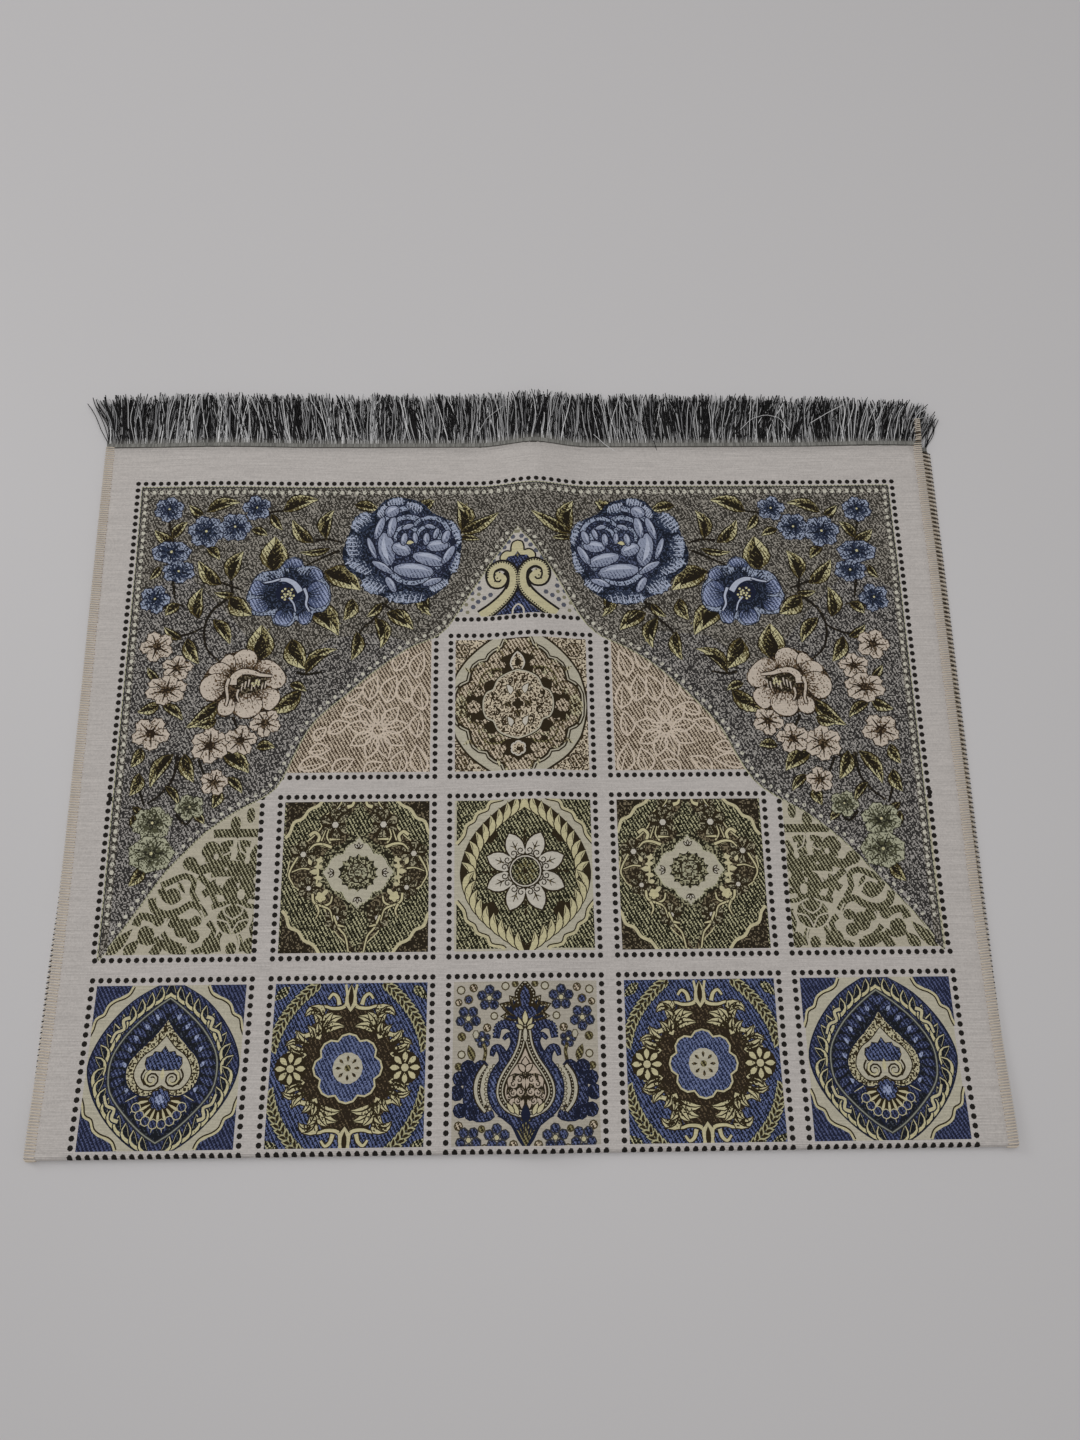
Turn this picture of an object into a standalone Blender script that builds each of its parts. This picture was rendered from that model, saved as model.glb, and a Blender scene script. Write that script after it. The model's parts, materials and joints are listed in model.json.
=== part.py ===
"""A jacquard-woven prayer rug, folded once across its middle and lying on a floor.

The cloth is one sheet. Its upper half shows the woven face, it turns over at a soft fold at the near
edge (-Y), and its lower half runs back along the floor. An old lengthwise crease lifts the upper half
in a low ridge. Each cut end (+Y) carries a woven heading with a fringe, so there are two fringes, one
on the other. Metres, +Z up, the origin on the floor under the middle of the folded cloth.
"""

import math

import bmesh
import bpy
import numpy as np

# The cloth, as it lies folded.
CLOTH_WIDTH = 0.680
FOLDED_LENGTH = 0.550
CLOTH_THICKNESS = 0.0016
LAYER_GAP = 0.0010
FRONT_Y = -FOLDED_LENGTH / 2
END_Y = FOLDED_LENGTH / 2

# The fold: how high it stands, how far it rounds, and how far behind it the layers have closed up.
FOLD_HEIGHT = 0.0075
FOLD_ROUND = 0.0030
FOLD_RUN = 0.075

# The old crease that runs from the fold to the fringe, a little right of the middle.
RIDGE_X = 0.011
RIDGE_HALF_WIDTH = 0.048
RIDGE_HEIGHT_AT_END = 0.0095
RIDGE_HEIGHT_AT_FOLD = 0.0045
RIDGE_SHARPNESS = 0.35

# Low swellings of the upper layer: middle x, middle y, half width along x and y, height (all in mm).
SWELLINGS_MM = (
    (-250, 275, 90, 110, 2.6),
    (-335, 180, 40, 150, 2.0),
    (190, 120, 110, 90, 1.2),
    (300, 285, 70, 90, 2.2),
    (-120, -60, 120, 70, 1.0),
)

# How far each side edge lies outside half the cloth's width, in mm, by the distance from the fold.
# The lower half lies a little skewed, so that it peeps out on the right.
SIDE_EDGES_MM = (
    # from fold, upper left, upper right, lower left, lower right
    (0, 1.0, 1.0, 1.0, 1.0),
    (60, 0.5, 0.5, 1.8, 0.5),
    (120, -1.0, -0.5, 0.8, 0.2),
    (170, -1.0, -1.5, -1.0, 0.4),
    (300, 0.5, -1.5, -2.0, 2.0),
    (450, 2.0, -1.0, -4.0, 3.6),
    (550, 4.0, -2.0, -5.0, 4.2),
)

# The grid that the cloth is bent from.
COLUMNS_BESIDE_RIDGE = 9
COLUMNS_OVER_RIDGE = 10
ROWS_ON_UPPER = 13
ROWS_BEHIND_FOLD = 5
ROWS_ROUND_FOLD = 6
ROWS_ON_LOWER = 6

# The fringes: a woven heading, parted from the cloth's cut end, and locks of yarn fused into it.
PARTING = 0.0003
HEADING_DEPTH = 0.005
UPPER_LOCKS = 140
LOWER_LOCKS = 100
LOCK_LENGTH = 0.046
LOCK_WIDTH_SHARE = 0.74
LOWER_END_SHORT = 0.004

# A lock's sections: share of its length, share of its lean, share of its root's width and height.
LOCK_SECTIONS = (
    (0.45, 0.22, 0.96, 0.85),
    (1.00, 1.00, 0.45, 0.50),
)

# How far the locks' tips lean to +X, in mm, by x in mm.
UPPER_LEAN_MM = (
    (-344, -19), (-334, -13), (-318, -6), (-250, -3), (-150, -5), (-50, -3),
    (0, 1), (60, -4), (130, -2), (200, 3), (300, 6), (328, 10), (338, 15),
)
LOWER_LEAN_MM = ((-335, -24), (-320, -9), (-200, 2), (0, -2), (200, 2), (330, 8), (344, 16))
UPPER_TIP_MIDDLE_Z = 0.0026
RIDGE_SHARE_AT_TIPS = 0.6
LENGTH_UNEVENNESS = 0.06

# Colours and finish of the yarns.
CLOTH_COLOUR = (0.47, 0.45, 0.42, 1.0)
FRINGE_COLOUR = (0.16, 0.16, 0.165, 1.0)
CLOTH_ROUGHNESS = 0.85
FRINGE_ROUGHNESS = 0.6

MM = 0.001


def ease(share):
    """A smooth step from 0 to 1."""
    share = np.clip(share, 0.0, 1.0)
    return share * share * (3.0 - 2.0 * share)


def swelling(distance):
    """A smooth bump: 1 at the middle, 0 from one half width outwards."""
    return 1.0 - ease(abs(distance))


def ridge_profile(x):
    """The crease's section, a soft bump with a slightly sharpened top."""
    away = abs(x - RIDGE_X) / RIDGE_HALF_WIDTH
    tent = max(0.0, 1.0 - away)
    return (1.0 - RIDGE_SHARPNESS) * swelling(away) + RIDGE_SHARPNESS * tent * swelling(away)


def lift(x, y):
    """How far the upper layer stands above where it would lie flat, without the fold's own rise."""
    along = (y - FRONT_Y) / FOLDED_LENGTH
    ridge = RIDGE_HEIGHT_AT_FOLD + (RIDGE_HEIGHT_AT_END - RIDGE_HEIGHT_AT_FOLD) * along
    height = ridge * ridge_profile(x)
    for middle_x, middle_y, half_x, half_y, top in SWELLINGS_MM:
        across = swelling((x / MM - middle_x) / half_x)
        height += top * MM * across * swelling((y / MM - middle_y) / half_y)
    return height


def upper_middle_z(x, y):
    """Height of the middle of the upper layer's thickness."""
    closed = CLOTH_THICKNESS + LAYER_GAP
    at_fold = FOLD_HEIGHT - CLOTH_THICKNESS
    rise = (at_fold - closed) * (1.0 - ease((y - FRONT_Y - FOLD_ROUND) / FOLD_RUN))
    return CLOTH_THICKNESS / 2 + closed + rise + lift(x, y)


def side_edges(y, lower):
    """The left and right edge of one half of the cloth at y."""
    from_fold = (y - FRONT_Y) / MM
    distances = [row[0] for row in SIDE_EDGES_MM]
    first = 3 if lower else 1
    left, right = (np.interp(from_fold, distances, [row[c] for row in SIDE_EDGES_MM]) for c in (first, first + 1))
    return -CLOTH_WIDTH / 2 - left * MM, CLOTH_WIDTH / 2 + right * MM


def column_shares():
    """Places of the grid's columns across the cloth, from 0 to 1, closer together over the ridge."""
    ridge = 0.5 + RIDGE_X / CLOTH_WIDTH
    half = RIDGE_HALF_WIDTH / CLOTH_WIDTH
    left = np.linspace(0.0, ridge - half, COLUMNS_BESIDE_RIDGE, endpoint=False)
    over = np.linspace(ridge - half, ridge + half, COLUMNS_OVER_RIDGE, endpoint=False)
    return np.concatenate([left, over, np.linspace(ridge + half, 1.0, COLUMNS_BESIDE_RIDGE + 1)])


def upper_row(y, shares):
    left, right = side_edges(y, lower=False)
    return [(x, y, upper_middle_z(x, y)) for x in left + (right - left) * shares]


def fold_row(turn, shares):
    """A row round the fold: turn is 0 at the upper layer and pi at the lower one."""
    left, right = side_edges(FRONT_Y, lower=False)
    middle_y = FRONT_Y + CLOTH_THICKNESS / 2 + FOLD_ROUND
    row = []
    for x in left + (right - left) * shares:
        depth = upper_middle_z(x, middle_y) - CLOTH_THICKNESS / 2
        z = CLOTH_THICKNESS / 2 + depth / 2 * (1.0 + math.cos(turn))
        row.append((x, middle_y - FOLD_ROUND * math.sin(turn), z))
    return row


def lower_row(y, shares):
    left, right = side_edges(y, lower=True)
    return [(x, y, CLOTH_THICKNESS / 2) for x in left + (right - left) * shares]


def cloth_rows():
    """The rows of the cloth's middle surface, from the upper cut end, round the fold, to the lower end."""
    shares = column_shares()
    fold_y = FRONT_Y + CLOTH_THICKNESS / 2 + FOLD_ROUND
    closed_y = fold_y + FOLD_RUN
    rows = [upper_row(y, shares) for y in np.linspace(END_Y, closed_y, ROWS_ON_UPPER, endpoint=False)]
    rows += [upper_row(y, shares) for y in np.linspace(closed_y, fold_y, ROWS_BEHIND_FOLD, endpoint=False)]
    rows += [fold_row(turn, shares) for turn in np.linspace(0.0, math.pi, ROWS_ROUND_FOLD, endpoint=False)]
    lower_end = END_Y - LOWER_END_SHORT
    rows += [lower_row(y, shares) for y in np.linspace(fold_y, lower_end, ROWS_ON_LOWER)]
    return rows


def material(name, colour, roughness):
    made = bpy.data.materials.new(name)
    made.use_nodes = True
    shader = made.node_tree.nodes["Principled BSDF"]
    shader.inputs["Base Color"].default_value = colour
    shader.inputs["Roughness"].default_value = roughness
    shader.inputs["Metallic"].default_value = 0.0
    return made


def add_object(name, made, finish):
    """Links an object for this bmesh, with its faces pointing out."""
    mesh = bpy.data.meshes.new(name)
    bmesh.ops.recalc_face_normals(made, faces=made.faces)
    made.to_mesh(mesh)
    made.free()
    mesh.materials.append(finish)
    thing = bpy.data.objects.new(name, mesh)
    bpy.context.scene.collection.objects.link(thing)
    return thing


def build_cloth():
    """The folded cloth: a bent grid given its thickness."""
    made = bmesh.new()
    grid = [[made.verts.new(point) for point in row] for row in cloth_rows()]
    for near, far in zip(grid, grid[1:]):
        for column in range(len(near) - 1):
            made.faces.new((near[column], near[column + 1], far[column + 1], far[column]))
    cloth = add_object("rug_cloth", made, material("woven_cloth", CLOTH_COLOUR, CLOTH_ROUGHNESS))
    thickness = cloth.modifiers.new("thickness", "SOLIDIFY")
    thickness.thickness = CLOTH_THICKNESS
    thickness.offset = 0.0
    thickness.use_even_offset = True
    cloth.data.shade_smooth()
    return cloth


def heading(made, count, start_y, lower):
    """The woven strip that carries the locks. Returns its far faces, one for each lock."""
    left, right = side_edges(start_y, lower)
    columns = []
    for x in np.linspace(left, right, count + 1):
        middle = CLOTH_THICKNESS / 2 if lower else upper_middle_z(x, END_Y)
        corners = [
            (x, start_y + depth, middle + side * CLOTH_THICKNESS / 2)
            for depth, side in ((0.0, -1), (HEADING_DEPTH, -1), (HEADING_DEPTH, 1), (0.0, 1))
        ]
        columns.append([made.verts.new(corner) for corner in corners])
    far_faces = []
    for here, there in zip(columns, columns[1:]):
        for first, second in ((0, 1), (1, 2), (2, 3), (3, 0)):
            face = made.faces.new((here[first], here[second], there[second], there[first]))
            if first == 1:
                far_faces.append(face)
    made.faces.new(columns[0])
    made.faces.new(reversed(columns[-1]))
    return far_faces


def lock_sections(root, number, lower):
    """The middle, half width and half height of each of a lock's sections beyond its root."""
    lean_table = LOWER_LEAN_MM if lower else UPPER_LEAN_MM
    lean = MM * np.interp(root.x / MM, *zip(*lean_table))
    length = LOCK_LENGTH * (1.0 + LENGTH_UNEVENNESS * math.sin(number * 2.4))
    half_height = CLOTH_THICKNESS / 2
    ridge = RIDGE_SHARE_AT_TIPS * lift(root.x, END_Y)
    for along, lean_share, width_share, height_share in LOCK_SECTIONS:
        low = height_share * half_height
        tip_z = UPPER_TIP_MIDDLE_Z + ridge
        z = low if lower else root.z + (tip_z - root.z) * along
        yield (root.x + lean * lean_share, root.y + length * along, z), width_share, low


def corners(face):
    """The four corners of a lock's end face, each with the side it lies on across and in height."""
    by_x = sorted(face.verts, key=lambda vert: vert.co.x)
    for side_x, pair in ((-1, by_x[:2]), (1, by_x[2:])):
        for side_z, vert in zip((-1, 1), sorted(pair, key=lambda vert: vert.co.z)):
            yield vert, side_x, side_z


def add_lock(made, face, number, half_width, lower):
    """Draws one lock out of its face on the heading, section by section."""
    root = face.calc_center_median()
    for (x, y, z), width_share, half_height in lock_sections(root, number, lower):
        face = bmesh.ops.extrude_discrete_faces(made, faces=[face])["faces"][0]
        for vert, side_x, side_z in corners(face):
            vert.co = (x + side_x * half_width * width_share, y, z + side_z * half_height)


def build_fringe(name, count, lower, finish):
    """A fringe: its heading and the locks that grow from it, in one solid."""
    made = bmesh.new()
    end_y = END_Y - LOWER_END_SHORT if lower else END_Y
    far_faces = heading(made, count, end_y + PARTING, lower)
    pitch = CLOTH_WIDTH / count
    margin = pitch * (1.0 - LOCK_WIDTH_SHARE) / 2
    bmesh.ops.recalc_face_normals(made, faces=made.faces)
    for number, face in enumerate(far_faces):
        bmesh.ops.inset_individual(made, faces=[face], thickness=min(margin, CLOTH_THICKNESS / 5))
        add_lock(made, face, number, pitch * LOCK_WIDTH_SHARE / 2, lower)
    return add_object(name, made, finish)


def main():
    for old in list(bpy.data.objects):
        bpy.data.objects.remove(old)
    build_cloth()
    yarn = material("fringe_yarn", FRINGE_COLOUR, FRINGE_ROUGHNESS)
    build_fringe("fringe_upper", UPPER_LOCKS, lower=False, finish=yarn)
    build_fringe("fringe_lower", LOWER_LOCKS, lower=True, finish=yarn)


main()
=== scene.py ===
import cmath
import json
import math

import bpy
import numpy as np
from mathutils import Matrix, Vector
from mathutils.geometry import delaunay_2d_cdt

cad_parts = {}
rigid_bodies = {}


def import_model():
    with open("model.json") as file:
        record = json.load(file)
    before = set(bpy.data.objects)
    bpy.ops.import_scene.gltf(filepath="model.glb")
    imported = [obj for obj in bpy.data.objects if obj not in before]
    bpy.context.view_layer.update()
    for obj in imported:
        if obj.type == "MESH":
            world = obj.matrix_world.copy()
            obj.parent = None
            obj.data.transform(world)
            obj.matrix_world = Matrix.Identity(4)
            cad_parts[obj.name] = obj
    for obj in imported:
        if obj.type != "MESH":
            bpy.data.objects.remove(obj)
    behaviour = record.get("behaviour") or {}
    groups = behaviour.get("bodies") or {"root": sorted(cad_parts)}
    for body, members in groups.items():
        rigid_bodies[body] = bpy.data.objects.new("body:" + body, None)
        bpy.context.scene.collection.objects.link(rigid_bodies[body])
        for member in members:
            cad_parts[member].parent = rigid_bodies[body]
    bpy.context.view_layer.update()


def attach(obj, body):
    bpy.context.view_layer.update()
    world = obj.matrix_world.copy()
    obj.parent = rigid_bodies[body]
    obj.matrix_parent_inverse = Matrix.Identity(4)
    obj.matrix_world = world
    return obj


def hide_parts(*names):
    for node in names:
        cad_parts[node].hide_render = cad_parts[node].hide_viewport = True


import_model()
scene = bpy.context.scene
MM = 0.001


# ---------------------------------------------------------------- Camera
# The rug is seen from above its near edge, at the height of someone standing over it, through a phone's
# wide lens. The picture is upright, so the sensor's 36 mm lie along its height.
view = bpy.data.cameras.new("view")
view.sensor_width = 36.0
view.lens = 26.25
camera = bpy.data.objects.new("camera", view)
camera.location = (-0.0006, -0.1964, 0.7817)
camera.rotation_euler = [math.radians(angle) for angle in (16.685, -0.852, -0.694)]
scene.collection.objects.link(camera)
scene.camera = camera


# ---------------------------------------------------------------- Material trees
# Every finish and every repeated piece below is a tree of nodes. A Value is the output of a node: sums
# written with it add Math nodes. A Tree adds any other node with one method.
class Value:
    def __init__(self, tree, socket):
        self.tree, self.socket = tree, socket

    def maths(self, operation, first, second=None):
        inputs = {"Value": first} if second is None else {"Value": first, "Value_001": second}
        return self.tree.node("ShaderNodeMath", {"operation": operation}, inputs)

    def __add__(self, other): return self.maths("ADD", self, other)
    def __radd__(self, other): return self.maths("ADD", other, self)
    def __sub__(self, other): return self.maths("SUBTRACT", self, other)
    def __rsub__(self, other): return self.maths("SUBTRACT", other, self)
    def __mul__(self, other): return self.maths("MULTIPLY", self, other)
    def __rmul__(self, other): return self.maths("MULTIPLY", other, self)
    def __truediv__(self, other): return self.maths("DIVIDE", self, other)
    def __rtruediv__(self, other): return self.maths("DIVIDE", other, self)
    def __pow__(self, other): return self.maths("POWER", self, other)
    def __lt__(self, other): return self.maths("LESS_THAN", self, other)
    def __gt__(self, other): return self.maths("GREATER_THAN", self, other)
    def floor(self): return self.maths("FLOOR", self)
    def fract(self): return self.maths("FRACT", self)
    def sine(self): return self.maths("SINE", self)
    def least(self, other): return self.maths("MINIMUM", self, other)
    def most(self, other): return self.maths("MAXIMUM", self, other)


class Tree:
    def __init__(self, tree):
        self.tree = tree

    def node(self, kind, settings=None, inputs=None, output=0):
        """Adds a node: its settings first, then its inputs by identifier or name. Gives the named output."""
        made = self.tree.nodes.new(kind)
        for name, value in (settings or {}).items():
            setattr(made, name, value)
        for key, value in (inputs or {}).items():
            usable = [socket for socket in made.inputs if socket.enabled]
            named = [socket for socket in usable if key in (socket.identifier, socket.name)]
            if isinstance(value, Value):
                self.tree.links.new(value.socket, named[0])
            else:
                named[0].default_value = value
        outputs = [socket for socket in made.outputs if socket.enabled]
        chosen = outputs[output] if isinstance(output, int) else made.outputs[output]
        return Value(self, chosen)

    def mix(self, share, low, high, blend="MIX"):
        """One colour into another."""
        low, high = (colour if isinstance(colour, Value) else (*colour, 1) for colour in (low, high))
        settings = {"data_type": "RGBA", "blend_type": blend}
        return self.node("ShaderNodeMix", settings, {"Factor_Float": share, "A_Color": low, "B_Color": high})

    def attribute(self, name, output="Fac"):
        return self.node("ShaderNodeAttribute", {"attribute_name": name}, output=output)

    def axes(self, vector):
        """The three numbers of a vector."""
        return [self.node("ShaderNodeSeparateXYZ", None, {"Vector": vector}, output=axis) for axis in "XYZ"]

    def vector(self, x, y, z=0.0):
        return self.node("ShaderNodeCombineXYZ", None, {"X": x, "Y": y, "Z": z})


class Finish(Tree):
    """A material: a Principled shader whose varying colour, roughness and bump are set at the end."""

    def __init__(self, name, roughness=0.8, **constants):
        self.material = bpy.data.materials.new(name)
        self.material.use_nodes = True
        super().__init__(self.material.node_tree)
        self.shader = self.tree.nodes["Principled BSDF"]
        self.shader.inputs["Roughness"].default_value = roughness
        for name, value in constants.items():
            self.shader.inputs[name.replace("_", " ")].default_value = value

    def drive(self, socket, value):
        self.tree.links.new(value.socket, self.shader.inputs[socket])

    def bump(self, height, depth):
        self.drive("Normal", self.node("ShaderNodeBump", None, {"Height": height, "Distance": depth}))


class Maker(Tree):
    """A Geometry Nodes tree with named inputs for its sizes, which makes what repeats."""

    def __init__(self, name, **sizes):
        super().__init__(bpy.data.node_groups.new(name, "GeometryNodeTree"))
        self.tree.interface.new_socket("Geometry", in_out="INPUT", socket_type="NodeSocketGeometry")
        self.tree.interface.new_socket("Geometry", in_out="OUTPUT", socket_type="NodeSocketGeometry")
        kinds = {int: "NodeSocketInt", float: "NodeSocketFloat"}
        self.sizes, self.ids = sizes, {}
        for label, value in sizes.items():
            kind = kinds.get(type(value), "NodeSocketObject")
            made = self.tree.interface.new_socket(label, in_out="INPUT", socket_type=kind)
            self.ids[label] = made.identifier
        entry = self.tree.nodes.new("NodeGroupInput")
        self.start = Value(self, entry.outputs["Geometry"])
        self.size = {label: Value(self, entry.outputs[label]) for label in sizes}

    def named(self, name, kind="FLOAT"):
        settings = {"data_type": kind}
        return self.node("GeometryNodeInputNamedAttribute", settings, {"Name": name})

    def store(self, geometry, name, value, kind="FLOAT", domain="POINT"):
        settings = {"data_type": kind, "domain": domain}
        inputs = {"Geometry": geometry, "Name": name, "Value": value}
        return self.node("GeometryNodeStoreNamedAttribute", settings, inputs)

    def chance(self, low, high, name, seed):
        """A random number for each of the pieces that the attribute of this name counts."""
        inputs = {"Min": low, "Max": high, "ID": self.named(name, "INT"), "Seed": seed}
        return self.node("FunctionNodeRandomValue", {"data_type": "FLOAT"}, inputs)

    def moved(self, geometry, x, y, z):
        inputs = {"Geometry": geometry, "Position": self.vector(x, y, z)}
        return self.node("GeometryNodeSetPosition", None, inputs)

    def make(self, geometry, material, source):
        """Ends the tree, runs it on the source object and gives a plain mesh object in its place."""
        whole = self.node("GeometryNodeRealizeInstances", None, {"Geometry": geometry})
        finished = self.node("GeometryNodeSetMaterial", None, {"Geometry": whole, "Material": material})
        exit_node = self.tree.nodes.new("NodeGroupOutput")
        self.tree.links.new(finished.socket, exit_node.inputs["Geometry"])
        modifier = source.modifiers.new(self.tree.name, "NODES")
        modifier.node_group = self.tree
        for label, value in self.sizes.items():
            modifier[self.ids[label]] = value
        evaluated = source.evaluated_get(bpy.context.evaluated_depsgraph_get())
        mesh = bpy.data.meshes.new_from_object(evaluated)
        source.modifiers.remove(modifier)
        name = source.name
        bpy.data.objects.remove(source)
        return piece(name, mesh)


def piece(name, mesh):
    mesh.name = name
    made = bpy.data.objects.new(name, mesh)
    scene.collection.objects.link(made)
    return made


def mesh_object(name, points, edges=(), faces=()):
    mesh = bpy.data.meshes.new(name)
    mesh.from_pydata([tuple(point) for point in points], list(edges), list(faces))
    return piece(name, mesh)


def thread_line(name, points):
    """A mesh of edges alone, from each point to the next."""
    return mesh_object(name, points, edges=[(n, n + 1) for n in range(len(points) - 1)])


def mark(made, name, values, kind="FLOAT", field="value"):
    """Gives the points of a mesh an attribute that its material or its tree reads."""
    made.data.attributes.new(name, kind, "POINT").data.foreach_set(field, np.asarray(values, float).ravel())


def corner_points(made):
    """The number of the point at each face corner of a mesh."""
    numbers = np.empty(len(made.data.loops), int)
    made.data.loops.foreach_get("vertex_index", numbers)
    return numbers


# ---------------------------------------------------------------- Floor and light
# A plain pale floor under soft studio light: one broad lamp overhead, a smaller one from the upper left
# that shows the crease and the fringe, and a pale surround.
FLOOR_HALF = 6.0
floor_mesh = bpy.data.meshes.new("floor")
floor_mesh.from_pydata([(x, y, 0) for x, y in ((-1, -1), (1, -1), (1, 1), (-1, 1))], [], [(0, 1, 2, 3)])
floor_mesh.transform(Matrix.Scale(FLOOR_HALF, 4))
floor = bpy.data.objects.new("floor", floor_mesh)
scene.collection.objects.link(floor)
floor_finish = Finish("plain_floor", roughness=0.45)
floor_finish.shader.inputs["Base Color"].default_value = (0.74, 0.725, 0.73, 1)
floor_mesh.materials.append(floor_finish.material)

for name, place, size, power in (
    ("overhead", (0.0, 0.3, 2.6), 2.4, 25.8),
    ("raking", (-2.0, 1.2, 1.6), 1.0, 9.1),
):
    lamp = bpy.data.lights.new(name, "AREA")
    lamp.size, lamp.energy = size, power
    light = bpy.data.objects.new(name, lamp)
    light.location = place
    light.rotation_euler = (-Vector(place)).to_track_quat("-Z", "Y").to_euler()
    scene.collection.objects.link(light)

scene.world = bpy.data.worlds.new("surround")
scene.world.use_nodes = True
scene.world.node_tree.nodes["Background"].inputs["Color"].default_value = (1.0, 0.985, 0.985, 1)
scene.world.node_tree.nodes["Background"].inputs["Strength"].default_value = 0.243
scene.view_settings.view_transform = "Standard"


# ---------------------------------------------------------------- How the cloth lies
# One woven sheet, turned over at a soft fold near the viewer. The sizes are those of the solid it
# dresses. A place on the flat cloth is a complex number in mm: across the cloth from its middle line,
# and along it from the fold, above 0 on the upper half and below 0 on the half underneath.
HALF_WIDTH = 340.0
UPPER_END = 550.0
LOWER_END = -546.0
FRONT_Y = -0.275
THICKNESS = 0.0016
LAYER_GAP = 0.0010
FOLD_HEIGHT, FOLD_ROUND, FOLD_RUN = 0.0075, 0.0030, 0.075
FOLD_Y = FRONT_Y + THICKNESS / 2 + FOLD_ROUND
RIDGE_X, RIDGE_HALF_WIDTH, RIDGE_SHARPNESS = 0.011, 0.048, 0.35
RIDGE_HEIGHT_AT_FOLD, RIDGE_HEIGHT_AT_END = 0.0045, 0.0095
SWELLINGS_MM = (
    # middle across, middle along from the fold, half width across, half length along, height
    (-250, 550, 90, 110, 2.6),
    (-335, 455, 40, 150, 2.0),
    (190, 395, 110, 90, 1.2),
    (300, 560, 70, 90, 2.2),
    (-120, 215, 120, 70, 1.0),
)
SIDE_EDGES_MM = np.array((
    # from the fold, upper left, upper right, lower left, lower right
    (0, 1.0, 1.0, 1.0, 1.0),
    (60, 0.5, 0.5, 1.8, 0.5),
    (120, -1.0, -0.5, 0.8, 0.2),
    (170, -1.0, -1.5, -1.0, 0.4),
    (300, 0.5, -1.5, -2.0, 2.0),
    (450, 2.0, -1.0, -4.0, 3.6),
    (550, 4.0, -2.0, -5.0, 4.2),
))


def ease(share):
    share = np.clip(share, 0.0, 1.0)
    return share * share * (3.0 - 2.0 * share)


def swelling(distance):
    return 1.0 - ease(np.abs(distance))


def lift(x, y):
    """How far the upper half stands above where it would lie flat."""
    along = (y - FRONT_Y) / 0.55
    away = np.abs(x - RIDGE_X) / RIDGE_HALF_WIDTH
    crest = 1.0 - RIDGE_SHARPNESS + RIDGE_SHARPNESS * np.maximum(0.0, 1.0 - away)
    ridge = RIDGE_HEIGHT_AT_FOLD + (RIDGE_HEIGHT_AT_END - RIDGE_HEIGHT_AT_FOLD) * along
    height = ridge * swelling(away) * crest
    for across, far, half_x, half_y, top in SWELLINGS_MM:
        bump = swelling((x / MM - across) / half_x) * swelling(((y - FRONT_Y) / MM - far) / half_y)
        height = height + top * MM * bump
    return height


def upper_middle_z(x, y):
    closed = THICKNESS + LAYER_GAP
    rise = (FOLD_HEIGHT - THICKNESS - closed) * (1.0 - ease((y - FRONT_Y - FOLD_ROUND) / FOLD_RUN))
    return THICKNESS / 2 + closed + rise + lift(x, y)


def middle_surface(place):
    """Where a flat place lies, in the middle of the cloth's thickness."""
    along = place.imag
    upper = along >= 0
    far = np.abs(along)
    left = np.where(upper, np.interp(far, *SIDE_EDGES_MM.T[[0, 1]]), np.interp(far, *SIDE_EDGES_MM.T[[0, 3]]))
    right = np.where(upper, np.interp(far, *SIDE_EDGES_MM.T[[0, 2]]),
                     np.interp(far, *SIDE_EDGES_MM.T[[0, 4]]))
    share = (place.real + HALF_WIDTH) / (2 * HALF_WIDTH)
    x = MM * (-HALF_WIDTH - left + (2 * HALF_WIDTH + left + right) * share)
    y = FRONT_Y + far * MM
    round_depth = FOLD_Y - FRONT_Y
    turning = y < FOLD_Y
    turn = math.pi / 2 * (1.0 - along * MM / round_depth)
    depth = upper_middle_z(x, FOLD_Y) - THICKNESS / 2
    fold_z = THICKNESS / 2 + depth / 2 * (1.0 + np.cos(turn))
    fold_y = FOLD_Y - FOLD_ROUND * np.sin(turn)
    z = np.where(turning, fold_z, np.where(upper, upper_middle_z(x, y), THICKNESS / 2))
    return np.stack([x, np.where(turning, fold_y, y), z], -1)


def outward(place):
    """The way the cloth's face points, by small steps across and along."""
    step = 0.2
    across = middle_surface(place + step) - middle_surface(place - step)
    along = middle_surface(place + step * 1j) - middle_surface(place - step * 1j)
    normal = np.cross(across, along)
    return normal / np.linalg.norm(normal, axis=-1, keepdims=True)


def on_cloth(place, height=0.0):
    """Points at a height in metres over the cloth's face, or under it where the height is below 0."""
    place = np.atleast_1d(np.asarray(place, complex))
    return middle_surface(place) + outward(place) * (THICKNESS / 2 + np.reshape(height, (-1, 1)))


# ---------------------------------------------------------------- The figures
# The pattern is woven in, not printed: each figure is an area where other yarns come to the face. Here
# a figure is an outline on the flat cloth with two yarns, how much of the lighter one shows and how
# scattered it is. Later figures lie over earlier ones.
LIGHT_ON_CLOTH = 0.60
LONGEST_EDGE = 6.0


def dyed(red, green, blue):
    """A yarn's colour, from how it looks in even light, as Blender's linear values."""
    seen = (value / 255 for value in (red, green, blue))
    linear = [value / 12.92 if value <= 0.04045 else ((value + 0.055) / 1.055) ** 2.4 for value in seen]
    return [min(1.0, value / LIGHT_ON_CLOTH) for value in linear]


def mixed(light, dark, share, grain=0.15):
    return light, dark, share, grain


def plain(yarn):
    return yarn, yarn, 1.0, 0.0


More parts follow.
